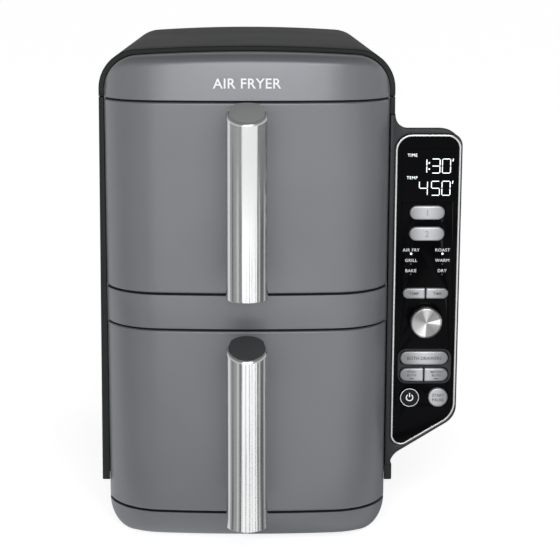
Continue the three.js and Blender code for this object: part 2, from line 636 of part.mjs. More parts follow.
function podRearCover() {
  const left = POD.left + GAP;
  const [right, top] = [POD.right - POD.taper, POD.top - POD.taper];
  const plan = [
    [left, 59.2 + POD.taper, 2, 2], [right, 91 + POD.taper, POD.corner],
    [right, top, POD.corner], [left, top, 2, 2],
  ];
  return loftY(layersOf((inset) => outline(plan, inset), [
    [POD.back - POD.cover + GAP, 0], [POD.back - 2.4, 0.3], [POD.back - 0.8, 1.2], [POD.back, 1.9],
  ]));
}

const panelTrimRing = () =>
  prismY(outline(trimOutline), PANEL.front - RING.proud, PANEL.back, [outline(trimOutline, RING.width)]);

/** Outline of a disc, as a square with fully round corners. */
const disc = (x, z, radius, inset = 0) =>
  outline(rectangle(x, z, 2 * radius, 2 * radius, radius - 0.01), inset, 3);

function controlPanel() {
  const windowHole = rectangle(PANEL.x, WINDOW.z, WINDOW.width, WINDOW.height, WINDOW.corner);
  const holes = [
    ...KEY_ROWS.map(({ z, width, height }) =>
      outline(rectangle(PANEL.x, z, width, height, height / 2 - 0.05), -KEY.clearance, 3)),
    ...ROUND_KEYS.map(({ x, z, radius }) => disc(x, z, radius, -KEY.clearance)),
    disc(PANEL.x, DIAL.z, DIAL.stem, -KEY.clearance),
    outline(windowHole, -GAP / 2, 2),
  ];
  return prismY(outline(trimOutline, RING.width + GAP), PANEL.front, PANEL.back, holes);
}

function displayWindow() {
  const pane = rectangle(PANEL.x, WINDOW.z, WINDOW.width, WINDOW.height, WINDOW.corner);
  return prismY(outline(pane, GAP / 2, 2), PANEL.front, PANEL.back - 0.6);
}

/** Holder behind the window with a recess for each row of digits. */
function displayModule() {
  const [wide, tall] = [WINDOW.width - 1, WINDOW.height - 1];
  const front = PANEL.back + GAP;
  const holder = prismY(outline(rectangle(PANEL.x, WINDOW.z, wide, tall, 1.5), 0, 2), front, 51.5);
  const rows = [WINDOW.z + 8.4, WINDOW.z - 9.1].map((z) =>
    prismY(outline(rectangle(PANEL.x + 1, z, wide - 8, 13)), front - 1, front + 1));
  return cut(holder, ...rows);
}

/** Circuit board with one switch behind each key, and three chips on its back. */
function controlBoard() {
  const back = BOARD.front + BOARD.thickness;
  const board = prismY(outline(podCavity(0), 2.2), BOARD.front, back);
  const switches = keyPlaces().map(({ x, z }) =>
    block([x - 3, x + 3], [BOARD.front - BOARD.standoff, BOARD.front + 0.5], [z - 3, z + 3]));
  const chips = [[WINDOW.z, 14], [225, 10], [150, 8]].map(([z, half]) =>
    block([PANEL.x - half, PANEL.x + half], [back - 0.6, back + 2.9], [z - half, z + half]));
  return join(board, ...switches, ...chips);
}

function dialEncoder() {
  const can = outline(rectangle(PANEL.x, DIAL.z, 2 * ENCODER.half, 2 * ENCODER.half, 1), 0, 2);
  const bore = rodY(PANEL.x, DIAL.z, ENCODER.bore, ENCODER.front - 2, DIAL.back + 2, 12);
  return cut(prismY(can, ENCODER.front, ENCODER.back), bore);
}

function dialKnob() {
  const { radius, front, stem, back } = DIAL;
  const foot = PANEL.front - 0.6;
  return turnedY(PANEL.x, DIAL.z, [
    [0, front], [radius - 1.6, front], [radius - 0.9, front + 0.9], [radius, foot - 0.4],
    [radius - 0.4, foot], [stem, foot], [stem, back], [0, back],
  ], 24);
}

/** Every key with its middle and outline corners. */
function keyPlaces() {
  const pills = KEY_ROWS.flatMap(({ z, width, height, keys }) => {
    const round = height / 2 - 0.05;
    const whole = { name: keys[0], x: PANEL.x, z, corners: rectangle(PANEL.x, z, width, height, round) };
    if (keys.length === 1) return [whole];
    const half = (width - KEY_SPLIT) / 2;
    const square = 0.8;
    const offset = (half + KEY_SPLIT) / 2;
    return [-1, 1].map((side, i) => {
      const x = PANEL.x + side * offset;
      const radii = side < 0 ? [round, square] : [square, round];
      return { name: keys[i], x, z, corners: rectangle(x, z, half, height, ...radii) };
    });
  });
  const discs = ROUND_KEYS.map(({ name, x, z, radius }) =>
    ({ name, x, z, corners: rectangle(x, z, 2 * radius, 2 * radius, radius - 0.01) }));
  return [...pills, ...discs];
}

const keyCap = ({ corners }) => loftY(layersOf((inset) => outline(corners, inset, 3), [
  [KEY.face, 0.7], [KEY.face + 0.7, 0], [KEY.back, 0],
]));

// ---------------------------------------------------------------- assembly

const fryer = new THREE.Group();
fryer.name = 'air_fryer';
fryer.position.set(-(POD.right - HOUSING.half - HOUSING.flare) / 2, -(OVERALL.front + OVERALL.back) / 2, 0);

function add(name, geometry, material) {
  const mesh = new THREE.Mesh(closed(geometry), MATERIALS[material]());
  mesh.name = name;
  mesh.geometry.computeVertexNormals();
  fryer.add(mesh);
}

add('base_pan', basePan(), 'darkPlastic');
for (const end of ['front', 'rear']) {
  add(`${end}_left_foot`, foot(-FEET.x, FEET[end]), 'rubber');
  add(`${end}_right_foot`, foot(FEET.x, FEET[end]), 'rubber');
}
add('left_side_panel', sidePanel(-1), 'darkCasing');
add('right_side_panel', sidePanel(1), 'darkCasing');
add('top_cover', topCover(), 'darkCasing');
add('rear_panel', rearPanel(), 'darkCasing');
add('cord_gland', cordGland(), 'rubber');
add('front_frame', frontFrame(), 'greyFront');
add('mid_insulation', midInsulation(), 'wool');
add('power_board', powerBoard(), 'board');

for (const [level, drawer] of Object.entries(DRAWERS)) {
  const z = fanHeight(drawer);
  add(`${level}_cavity_liner`, cavityLiner(drawer), 'aluminisedSteel');
  add(`${level}_fan_guard`, fanGuard(z), 'aluminisedSteel');
  add(`${level}_heat_chamber`, heatChamber(z), 'aluminisedSteel');
  add(`${level}_heater`, heater(z), 'heaterSheath');
  add(`${level}_fan_rotor`, fanRotor(z), 'aluminisedSteel');
  add(`${level}_fan_motor`, fanMotor(z), 'aluminisedSteel');
  add(`${level}_vent_cover`, ventCover(z), 'darkPlastic');
  add(`${level}_basket`, basket(drawer), 'nonStick');
  add(`${level}_crisper_plate`, crisperPlate(drawer), 'nonStick');
  add(`${level}_drawer_front`, drawerFront(drawer), 'greyFront');
  add(`${level}_handle_core`, handleCore(drawer), 'darkPlastic');
  add(`${level}_handle_shell`, handleShell(drawer), 'polishedSteel');
  add(`${level}_handle_cap`, handleCap(drawer), 'darkPlastic');
}

add('pod_shell', podShell(), 'podFrame');
add('pod_rear_cover', podRearCover(), 'podFrame');
add('panel_trim_ring', panelTrimRing(), 'silver');
add('control_panel', controlPanel(), 'glossBlack');
add('display_window', displayWindow(), 'smokedLens');
add('display_module', displayModule(), 'darkPlastic');
add('control_board', controlBoard(), 'board');
add('dial_encoder', dialEncoder(), 'darkPlastic');
add('dial_knob', dialKnob(), 'silver');
for (const key of keyPlaces()) {
  add(key.name, keyCap(key), key.name === 'power_button' ? 'blackKey' : 'key');
}

export default fryer;
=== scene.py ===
from math import acos, asin, atan2, copysign, cos, hypot, pi, radians, remainder, sin, sqrt, tan

import bmesh
import bpy
from mathutils import Matrix, Vector
from mathutils.geometry import tessellate_polygon


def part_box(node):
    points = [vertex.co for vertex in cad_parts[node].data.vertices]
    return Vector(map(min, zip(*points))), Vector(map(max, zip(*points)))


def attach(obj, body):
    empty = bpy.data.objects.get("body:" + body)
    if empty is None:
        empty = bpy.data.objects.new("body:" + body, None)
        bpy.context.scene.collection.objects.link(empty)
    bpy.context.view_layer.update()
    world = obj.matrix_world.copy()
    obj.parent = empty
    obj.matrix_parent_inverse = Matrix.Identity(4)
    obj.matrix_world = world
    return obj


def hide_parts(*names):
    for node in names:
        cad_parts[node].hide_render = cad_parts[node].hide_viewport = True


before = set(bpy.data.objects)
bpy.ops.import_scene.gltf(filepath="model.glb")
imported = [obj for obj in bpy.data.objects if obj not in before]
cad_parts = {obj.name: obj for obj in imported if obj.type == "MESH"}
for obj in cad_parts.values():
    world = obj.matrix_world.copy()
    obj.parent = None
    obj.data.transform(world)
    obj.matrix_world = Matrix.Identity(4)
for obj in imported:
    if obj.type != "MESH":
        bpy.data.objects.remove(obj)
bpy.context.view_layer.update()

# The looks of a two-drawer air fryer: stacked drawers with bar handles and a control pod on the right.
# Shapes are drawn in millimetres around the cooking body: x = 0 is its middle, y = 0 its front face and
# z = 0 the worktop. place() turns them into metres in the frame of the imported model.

MM = 0.001
MIDDLE_X = (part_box("top_cover")[0].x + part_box("top_cover")[1].x) / 2
FRONT_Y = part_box("upper_drawer_front")[0].y
LEVELS = ("lower", "upper")


def place(x, y, z):
    return Vector((MIDDLE_X + x * MM, FRONT_Y + y * MM, z * MM))


def span(node):
    """(low, high) of a CAD node along x, y and z, in millimetres around the cooking body."""
    shift = Vector((MIDDLE_X, FRONT_Y, 0))
    low, high = ((corner - shift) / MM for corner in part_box(node))
    return list(zip(low, high))


def middle(pair):
    return (pair[0] + pair[1]) / 2


def size(pair):
    return pair[1] - pair[0]


# -------- driving dimensions, from the frame

COVER, PLATE, POD, PANEL = (span(n) for n in ("top_cover", "front_frame", "pod_shell", "control_panel"))
FRONTS = {level: span(f"{level}_drawer_front") for level in LEVELS}
CASING_HALF = COVER[0][1]
CASING_TOP = COVER[2][1]
CASING_FRONT, CASING_BACK = COVER[1]
CASING_CORNER = 30
FRAME_HALF = PLATE[0][1]
FRAME_BOTTOM = PLATE[2][0] + 1.8
FRAME_TOP = PLATE[2][1]
FRAME_CORNER = 28
FRAME_FOOT = 20
DOME_SLOPE = 0.061
DOME_RADIUS = 1340
BOW_RADIUS, BOW_CORNER, BOW_HALF = 660, 48, 111.3
SEAM = 1.6
BAR = span("upper_handle_shell")
HANDLE_R = size(BAR[0]) / 2
HANDLE_Y = BAR[1][0] + HANDLE_R
HANDLE_WALL = 2
HANDLE_TOP = {"lower": 174.4, "upper": 348.8}
POST_R = HANDLE_R - HANDLE_WALL - 0.3
SLANT = tan(radians(22.5))
FULL_TURN = [2 * pi * k / 64 for k in range(64)]
PANEL_X = middle(PANEL[0]) + 0.4
PANEL_FRONT = PANEL[1][0]


# -------- outlines

def outline(corners, inset=0.0, steps=10):
    """A counter-clockwise polygon of (x, y, radius) corners with round corners, drawn in by inset."""
    points = []
    for i, (x, y, radius) in enumerate(corners):
        here = Vector((x, y))
        arriving = (here - Vector(corners[i - 1][:2])).normalized()
        leaving = (Vector(corners[(i + 1) % len(corners)][:2]) - here).normalized()
        inward = Vector((-arriving.y, arriving.x))
        inward_after = Vector((-leaving.y, leaving.x))
        corner = here + (inward + inward_after) * (inset / (1 + inward.dot(inward_after)))
        if not radius:
            points.append(corner)
            continue
        turn = atan2(arriving.x * leaving.y - arriving.y * leaving.x, arriving.dot(leaving))
        bend = max(radius - copysign(inset, turn), 0.05)
        centre = corner - arriving * bend * tan(abs(turn) / 2) + inward * copysign(bend, turn)
        spoke = -inward * copysign(bend, turn)
        points += [centre + Matrix.Rotation(turn * k / steps, 2) @ spoke for k in range(steps + 1)]
    return points


def drawn(corners, steps=10, extra=0.0):
    """The outline of corners as a function of its inset."""
    return lambda inset: outline(corners, extra + inset, steps)


def rectangle(x, y, width, height, radius=0.0, right=None):
    """Corners of a rectangle round (x, y); its right-hand corners may have a radius of their own."""
    right = radius if right is None else right
    return [
        (x - width / 2, y - height / 2, radius), (x + width / 2, y - height / 2, right),
        (x + width / 2, y + height / 2, right), (x - width / 2, y + height / 2, radius),
    ]


def crowned(half, bottom, top, corner, foot=0.0):
    """Corners of a panel with a gently crowned top."""
    apex = top + DOME_RADIUS * (hypot(1, DOME_SLOPE) - 1)
    shoulder = apex - DOME_SLOPE * half
    return [(-half, bottom, foot), (half, bottom, foot), (half, shoulder, corner), (0, apex, DOME_RADIUS),
            (-half, shoulder, corner)]


def arch(half, bottom, top, corner, inset=0.0):
    """The crowned outline from its lower left, over the top, to its lower right; open below."""
    over = outline(crowned(half, bottom - 60, top, corner), inset, 14)[2:]
    ends = [Vector((side * (half - inset), bottom)) for side in (-1, 1)]
    return [ends[0], *reversed(over), ends[1]]


def bow_centre():
    """Centre of the tighter arc that ends the bowed front on its right."""
    x = BOW_HALF - BOW_CORNER
    return x, BOW_RADIUS - sqrt((BOW_RADIUS - BOW_CORNER) ** 2 - x * x)


def bow_depth(x):
    """How far back the bowed front lies at a distance x from its middle."""
    corner_x, corner_y = bow_centre()
    joint = corner_x * BOW_RADIUS / (BOW_RADIUS - BOW_CORNER)
    if abs(x) < joint:
        return BOW_RADIUS - sqrt(BOW_RADIUS ** 2 - x * x)
    return corner_y - sqrt(max(BOW_CORNER ** 2 - (abs(x) - corner_x) ** 2, 0))


def bowed(inset, back, steps=14):
    """The bowed front in plan, left to right, drawn in by inset and ending at y = back."""
    corner_x, corner_y = bow_centre()
    joint = asin(corner_x / (BOW_RADIUS - BOW_CORNER))
    reach = BOW_CORNER - inset
    end = acos((corner_y - back) / reach)

    def arc(x, y, radius, start, stop, count):
        angles = [start + (stop - start) * k / count for k in range(count + 1)]
        return [Vector((x + radius * sin(a), y - radius * cos(a))) for a in angles]

    return (arc(-corner_x, corner_y, reach, -end, -joint, steps)
            + arc(0, BOW_RADIUS, BOW_RADIUS - inset, -joint, joint, 2 * steps)[1:-1]
            + arc(corner_x, corner_y, reach, joint, end, steps))


def runs(path):
    """The direction of an open path at each of its points."""
    last = len(path) - 1
    return [(path[min(i + 1, last)] - path[max(i - 1, 0)]).normalized() for i in range(len(path))]


def stack(draw, layers):
    """Level rings of an outline, drawn for the inset of each (height, inset)."""
    return [[(p.x, p.y, at) for p in draw(inset)] for at, inset in layers]


def quarter(steps):
    """Angles from 0 to 90 degrees."""
    return [pi / 2 * k / steps for k in range(steps + 1)]


def round_edge(low, high, radius, steps=4):
    """(position, inset) steps of a wall from low to high with both its edges rounded."""
    start = [(low + radius * (1 - sin(a)), radius * (1 - cos(a))) for a in reversed(quarter(steps))]
    stop = [(high - radius * (1 - sin(a)), radius * (1 - cos(a))) for a in quarter(steps)]
    return start + stop


# -------- meshes

class Shape:
    """Vertices and faces of a piece, in millimetres around the cooking body."""

    def __init__(self):
        self.verts = []
        self.faces = []

    def add(self, verts, faces):
        base = len(self.verts)
        self.verts += [tuple(v) for v in verts]
        self.faces += [[base + i for i in face] for face in faces]
        return self

    def rings(self, rings, closed=True, caps=(False, False), looped=False):
        """Quads between rings of equally many points."""
        count = len(rings[0])
        faces = []
        pairs = list(range(len(rings) - 1)) + ([len(rings) - 1] if looped else [])
        for r in pairs:
            base, above = r * count, (r + 1) % len(rings) * count
            for i in range(count if closed else count - 1):
                j = (i + 1) % count
                faces.append([base + i, base + j, above + j, above + i])
        if caps[0]:
            faces.append(list(reversed(range(count))))
        if caps[1]:
            faces.append([(len(rings) - 1) * count + i for i in range(count)])
        return self.add([p for ring in rings for p in ring], faces)

    def slab(self, outer, holes, layers, along="y"):
        """A slab with holes. outer and holes draw outlines for an inset; layers are (position, inset)."""
        def lift(point, at):
            return (point.x, at, point.y) if along == "y" else (point.x, point.y, at)

        loops = [(outer, 1)] + [(hole, -1) for hole in holes]
        for draw, sign in loops:
            self.rings([[lift(p, at) for p in draw(sign * inset)] for at, inset in layers])
        for at, inset in (layers[0], layers[-1]):
            flat = [draw(sign * inset) for draw, sign in loops]
            faces = tessellate_polygon([[p.to_3d() for p in loop] for loop in flat])
            self.add([lift(p, at) for loop in flat for p in loop], faces)
        return self

    def turned(self, profile, x, other, sides, along="y"):
        """A turned piece round a line along y through (x, z), or along z through (x, y)."""
        rings = []
        for radius, at in profile:
            ring = []
            for k in range(sides):
                angle = 2 * pi * k / sides
                u, v = x + radius * cos(angle), other + radius * sin(angle)
                ring.append((u, at, v) if along == "y" else (u, v, at))
            rings.append(ring)
        return self.rings(rings)


def in_scene(name, data):
    obj = bpy.data.objects.new(name, data)
    bpy.context.scene.collection.objects.link(obj)
    return obj


def piece(name, shape, body, material, replaces=(), thickness=0.0, sharp=32):
    """Makes the shape an object that rides on a CAD body and may stand for CAD nodes."""
    mesh = bpy.data.meshes.new(name)
    mesh.from_pydata([place(*v) for v in shape.verts], [], shape.faces)
    work = bmesh.new()
    work.from_mesh(mesh)
    bmesh.ops.remove_doubles(work, verts=work.verts, dist=2e-6)
    bmesh.ops.dissolve_degenerate(work, edges=work.edges, dist=1e-7)
    bmesh.ops.recalc_face_normals(work, faces=work.faces)
    centre = sum((v.co for v in work.verts), Vector()) / len(work.verts)
    outward = sum((f.calc_center_median() - centre).dot(f.normal) * f.calc_area() for f in work.faces)
    if thickness and outward < 0:
        bmesh.ops.reverse_faces(work, faces=work.faces)
    work.to_mesh(mesh)
    work.free()
    mesh.shade_smooth()
    mesh.set_sharp_from_angle(angle=radians(sharp))
    mesh.materials.append(material)
    obj = in_scene(name, mesh)
    if thickness:
        wall = obj.modifiers.new("wall", "SOLIDIFY")
        wall.thickness = thickness * MM
        wall.offset = -1
    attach(obj, body)
    if replaces:
        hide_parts(*replaces)


def soften(obj, width):
    """Rounds the edges of an object that turn by more than 35 degrees."""
    edge = obj.modifiers.new("edge", "BEVEL")
    edge.width = width * MM
    edge.segments = 3
    edge.limit_method = "ANGLE"
    edge.angle_limit = radians(35)
    edge.harden_normals = True


# -------- materials

def linear(srgb):
    """The linear light of an 8-bit display colour."""
    return [((c / 255 + 0.055) / 1.055) ** 2.4 if c > 10 else c / 255 / 12.92 for c in srgb]


PATCHES_PER_METRE = 14
FINE_SHARE = 0.45


def connect(tree, target, sockets):
    """Sets each socket of a node to a constant, or links it to another node's output."""
    for socket, value in sockets.items():
        if isinstance(value, bpy.types.NodeSocket):
            tree.links.new(value, target.inputs[socket])
        else:
            target.inputs[socket].default_value = value
    return target


def add_node(tree, kind, sockets, **settings):
    """A new shader node with some settings and sockets."""
    made = tree.nodes.new(f"ShaderNode{kind}")
    for setting, value in settings.items():
        setattr(made, setting, value)
    return connect(tree, made, sockets)


def remap(tree, value, reach, target):
    """A value from the range reach, carried over to the range target."""
    limits = dict(zip(("From Min", "From Max", "To Min", "To Max"), reach + target))
    return add_node(tree, "MapRange", {"Value": value, **limits}).outputs["Result"]


def surface(name, srgb, roughness, metallic=0.0, grain=1600, bump=0.12, mottle=0.05, stretch=(1, 1, 1),
            spread=0.05, specular=0.5):
    """A procedural finish: broad colour mottling, fine grain in colour and roughness, and a grain bump."""
    material = bpy.data.materials.new(name)
    material.use_nodes = True
    tree = material.node_tree
    coords = add_node(tree, "TexCoord", {}).outputs["Object"]
    mapping = add_node(tree, "Mapping", {"Vector": coords, "Scale": stretch})
    noise = add_node(tree, "TexNoise", {"Vector": mapping.outputs["Vector"], "Scale": grain, "Detail": 3})
    patches = add_node(tree, "TexNoise", {"Vector": coords, "Scale": PATCHES_PER_METRE, "Detail": 2})
    fine = noise.outputs["Fac"]
    both = add_node(tree, "Mix", {"Factor": FINE_SHARE, "A": patches.outputs["Fac"], "B": fine})
    pattern = both.outputs["Result"]
    ramp = add_node(tree, "ValToRGB", {"Fac": pattern})
    for stop, position, factor in zip(ramp.color_ramp.elements, (0.32, 0.68), (1 - mottle, 1 + mottle)):
        stop.position = position
        stop.color = [min(c * factor, 1) for c in linear(srgb)] + [1]
    relief = add_node(tree, "Bump", {"Strength": bump, "Distance": 0.0002, "Height": fine})
    rough = (max(roughness - spread, 0.02), min(roughness + spread, 1))
    connect(tree, tree.nodes["Principled BSDF"], {
        "Base Color": ramp.outputs["Color"], "Metallic": metallic, "Specular IOR Level": specular,
        "Roughness": remap(tree, pattern, (0.3, 0.7), rough), "Normal": relief.outputs["Normal"],
    })
    return material


def spun(material, axis):
    """Turns the brushing of a metal into circles round an axis."""
    tree = material.node_tree
    tangent = add_node(tree, "Tangent", {}, direction_type="RADIAL", axis=axis)
    shader = tree.nodes["Principled BSDF"]
    connect(tree, shader, {"Anisotropic": 0.6, "Tangent": tangent.outputs["Tangent"]})
    return material


def tint(material, factor):
    """Multiplies the colour of a finish by a grey pattern."""
    tree = material.node_tree
    shader = tree.nodes["Principled BSDF"]
    sockets = {"Factor": 1, "A": shader.inputs["Base Color"].links[0].from_socket, "B": factor}
    mix = add_node(tree, "Mix", sockets, data_type="RGBA", blend_type="MULTIPLY")
    connect(tree, shader, {"Base Color": mix.outputs["Result"]})
    return material


def painted_conic_sheen(material, node, stops):
    """Paints the fan-shaped sheen of a spun face into its colour as highlight and shade: (degrees,
    brightness) stops round the middle of a CAD node.
    """
    tree = material.node_tree
    low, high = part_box(node)
    mapping = add_node(tree, "Mapping", {
        "Vector": tree.nodes["Texture Coordinate"].outputs["Object"], "Rotation": (-pi / 2, 0, 0),
        "Location": (-(low.x + high.x) / 2, -(low.z + high.z) / 2, 0),
    })
    angle = add_node(tree, "TexGradient", {"Vector": mapping.outputs["Vector"]}, gradient_type="RADIAL")
    ramp = add_node(tree, "ValToRGB", {"Fac": angle.outputs["Fac"]})
    elements = ramp.color_ramp.elements
    while len(elements) < len(stops):
        elements.new(0.5)
    for element, (degrees, level) in zip(elements, stops):
        element.position = degrees / 360 + 0.5
        element.color = (level, level, level, 1)
    tint(material, ramp.outputs["Color"])


def painted_sheen_band(material, centre, width, low):
    """Paints a highlight into the colour of a satin face: a soft upright band of light, brightest at x =
    centre.
    """
    tree = material.node_tree
    wave = add_node(tree, "TexWave", {
        "Vector": tree.nodes["Texture Coordinate"].outputs["Object"], "Scale": 2 * pi / (20 * width),
        "Phase Offset": pi - 2 * pi * centre / width,
    }, bands_direction="X")
    return tint(material, remap(tree, wave.outputs["Fac"], (0, 1), (low, 1)))


def glow(material, colour, strength):
    tree = material.node_tree
    connect(tree, tree.nodes["Principled BSDF"], {"Emission Color": colour, "Emission Strength": strength})
    return material


front_grey = surface("front_grey", (116, 118, 122), 0.36, 0.35, grain=2600, bump=0.10)
casing_dark = surface("casing_dark", (39, 41, 41), 0.55, grain=1500, bump=0.30, mottle=0.07, specular=0.17)
pod_dark = surface("pod_dark", (38, 40, 42), 0.45, grain=1500, bump=0.25, mottle=0.06, specular=0.35)
base_dark = surface("base_dark", (30, 32, 33), 0.6, grain=1100, bump=0.35, mottle=0.08)
handle_dark = surface("handle_dark", (52, 55, 57), 0.5, grain=1800, bump=0.25, mottle=0.06)
# One grey plastic for both handle caps, in a lit copy for the upper handle and a shaded copy for the lower
# one: the lower cap's darker grey is painted shade.
caps_lit_and_shaded = {
    "upper": surface("upper_cap_lit_grey", (146, 148, 148), 0.5, grain=1800, bump=0.18),
    "lower": surface("lower_cap_shaded_grey", (66, 68, 70), 0.5, grain=1800, bump=0.18),
}
gloss_black = surface("gloss_black", (5, 5, 7), 0.08, grain=500, bump=0.006, mottle=0.15, spread=0.02,
                      specular=0.045)
key_field = surface("key_field", (34, 36, 39), 0.35, grain=900, bump=0.05, specular=0.3)
silver_line = surface("silver_line", (214, 215, 214), 0.22, 0.85, grain=2400, bump=0.05, mottle=0.03)
# Two copies of one satin silver whose colour carries a painted sheen band; they differ only in where the
# painted highlight is brightest.
key_silver, start_silver = (
    painted_sheen_band(surface(name, (190, 191, 194), 0.34, 0.6, grain=1500, bump=0.10, stretch=(1, 1, 0.12)),
           MIDDLE_X + x * MM, width=0.034, low=0.44)
    for name, x in (("key_silver", PANEL_X), ("start_silver", PANEL_X + 6))
)
key_black = surface("key_black", (8, 9, 10), 0.2, grain=700, bump=0.02, specular=0.2)
steel = surface("brushed_steel", (226, 228, 228), 0.13, 1.0, grain=600, bump=0.45, mottle=0.06,
                stretch=(1, 1, 0.006))
spun_steel = spun(surface("spun_steel", (250, 250, 250), 0.28, 1.0, bump=0.08, mottle=0.03), "Y")
# Fans of painted highlight and shade round the dial's face, multiplied into the colour of the spun steel.
painted_conic_sheen(spun_steel, "dial_knob", (
    (-180, 0.40), (-150, 0.48), (-112, 0.95), (-96, 1.0), (-89, 0.34), (-50, 0.28), (-12, 0.42), (-2, 1.0),
    (13, 1.0), (19, 0.30), (58, 0.27), (84, 0.66), (99, 0.62), (114, 0.28), (146, 0.25), (178, 0.40),
))
non_stick = surface("non_stick", (44, 44, 46), 0.38, 0.1, grain=2600, bump=0.2, mottle=0.12)
sheet_metal = surface("sheet_metal", (150, 151, 150), 0.34, 0.9, grain=700, bump=0.08, mottle=0.1,
                      stretch=(1, 0.05, 1))
heater_metal = surface("heater_metal", (84, 76, 68), 0.45, 0.8, grain=900, bump=0.2, mottle=0.2)
soft_rubber = surface("soft_rubber", (16, 16, 17), 0.8, grain=1400, bump=0.3, mottle=0.1, specular=0.2)
mineral_wool = surface("mineral_wool", (196, 188, 168), 0.95, grain=420, bump=0.9, mottle=0.18)
board_green = surface("board_green", (26, 84, 48), 0.45, grain=500, bump=0.15, mottle=0.25)
print_white, print_grey, print_silver = (
    surface(name, srgb, 0.5, grain=1200, bump=0.02, mottle=0.03)
    for name, srgb in (("print_white", (236, 238, 240)), ("print_grey", (74, 75, 80)),
                       ("print_silver", (146, 147, 152)))
)
lamp_off = surface("lamp_off", (62, 64, 68), 0.3, grain=900, bump=0.02)
lit_white = surface("lit_white", (236, 240, 244), 0.4, bump=0.02)
glow(lit_white, lit_white.node_tree.nodes["Color Ramp"].outputs["Color"], 0.9)


# -------- casing and grey front

def build_top_cover():
    bottom = COVER[2][0]
    mouth, edge = 0.3, 1.6
    rear_depth, rear_drop = 9, 6.5

    def section(at, inset):
        return [(p.x, at, p.y) for p in arch(CASING_HALF, bottom, CASING_TOP, CASING_CORNER, inset)]

    lip = [(p.x, p.y) for p in arch(FRAME_HALF, bottom, FRAME_TOP, FRAME_CORNER, -mouth)]
    rings = [[(x, at, z) for x, z in lip] for at in (CASING_FRONT + 5, CASING_FRONT + mouth)]
    rings.append([(x + (mouth if x > 0 else -mouth), CASING_FRONT, z + mouth) for x, z in lip])
    rings += [section(CASING_FRONT + edge * (1 - cos(a)), edge * (1 - sin(a)))
              for a in (0, 0.4, 0.8, 1.2, pi / 2)]
    rings += [section(at, 0) for at in (CASING_FRONT + 40, CASING_BACK - 60)]
    rings += [section(CASING_BACK - rear_depth + rear_depth * sin(a), rear_drop * (1 - cos(a)))
              for a in quarter(8)]
    shape = Shape().rings(rings, closed=False, caps=(False, True))
    piece("top_cover_shell", shape, "housing", casing_dark, ["top_cover"], thickness=2.0)


def outward_normals(loop, level):
    """Unit normals of an open loop of points, on the side that faces away from a level."""
    normals = [Vector((run.y, -run.x)) for run in runs(loop)]
    half = len(loop) // 2
    towards_level = (Vector((loop[half].x, level)) - loop[half]).dot(normals[half])
    return [-n for n in normals] if towards_level < 0 else normals


def bowed_strip(shape, loop, level, rise, depth, lean=0.0):
    """A strip of the bowed front whose rounded edge follows loop and whose straight edge lies at a level."""
    back = CASING_FRONT + 0.3
    normals = outward_normals(loop, level)
    fade = [max(abs(n.y), 0.0) ** 1.5 for n in normals]
    rings = [[(p.x, back, p.y) for p in loop]]
    for angle in quarter(7):
        ring = []
        for here, normal, share in zip(loop, normals, fade):
            point = here + normal * rise * (1 - cos(angle)) * share
            at = bow_depth(point.x) + depth * (1 - sin(angle)) * share + lean
            ring.append((point.x, min(at, back), point.y))
        rings.append(ring)
    edge = rings[-1]
    for k in range(1, 7):
        share = k / 6
        rings.append([(x, bow_depth(x) + lean * (1 - share), z + (level - z) * share) for x, _, z in edge])
    rings.append([(x, back, level) for x, _, _ in edge])
    shape.rings(rings, closed=False)


def foot_edge(level):
    """The front's lower edge: down from a level on its left, along under it and up on its right."""
    start = acos((FRAME_BOTTOM + FRAME_FOOT - level) / FRAME_FOOT)
    flat = FRAME_HALF - FRAME_FOOT
    left = []
    for k in range(14):
        angle = start * (1 - k / 14)
        x, z = -flat - FRAME_FOOT * sin(angle), FRAME_BOTTOM + FRAME_FOOT * (1 - cos(angle))
        left.append(Vector((x, z)))
    under = [Vector((flat * (k / 12 - 1), FRAME_BOTTOM)) for k in range(25)]
    return left + under + [Vector((-p.x, p.y)) for p in reversed(left)]


def build_front_frame():
    lower, upper = (FRONTS[level][2] for level in LEVELS)
    mouth_width, mouth_border, mouth_rise = 202, 9.4, 0.5
    mouths = [rectangle(0, middle(front) + mouth_rise, mouth_width, size(front) - mouth_border, 6)
              for front in (lower, upper)]
    plate = crowned(FRAME_HALF, FRAME_BOTTOM, FRAME_TOP, FRAME_CORNER, FRAME_FOOT)
    shape = Shape().slab(drawn(plate, 14), [drawn(mouth) for mouth in mouths],
                         round_edge(CASING_FRONT, CASING_FRONT + 3.5, 0.6))
    over, under = upper[1] + SEAM, lower[0] - SEAM
    bowed_strip(shape, arch(FRAME_HALF, over, FRAME_TOP, FRAME_CORNER), over, rise=7.5, depth=12, lean=3.0)
    bowed_strip(shape, foot_edge(under), under, rise=4, depth=4)
    strip = round_edge(lower[1] + SEAM, upper[0] - SEAM, 0.6)
    shape.rings(stack(lambda inset: bowed(inset, CASING_FRONT), strip), caps=(True, True))
    piece("front_frame_shell", shape, "housing", front_grey, ["front_frame"])


def build_shade_seals():
    """Black rubber seal strips that fill the gaps below and above each drawer front; they stand for the
    shadow in these seams as painted shade.
    """
    behind, sunk, tucked = 1.3, 0.15, 0.3
    shade_seals = []
    for low, high in (FRONTS[level][2] for level in LEVELS):
        shade_seals += [(low - SEAM - tucked, low - sunk), (high + sunk, high + SEAM + tucked)]
    for n, ends in enumerate(shade_seals):
        rings = stack(lambda inset: bowed(inset, CASING_FRONT - 0.5), [(at, behind) for at in ends])
        piece(f"seam_shade_seal_{n + 1}", Shape().rings(rings, caps=(True, True)), "housing", soft_rubber)


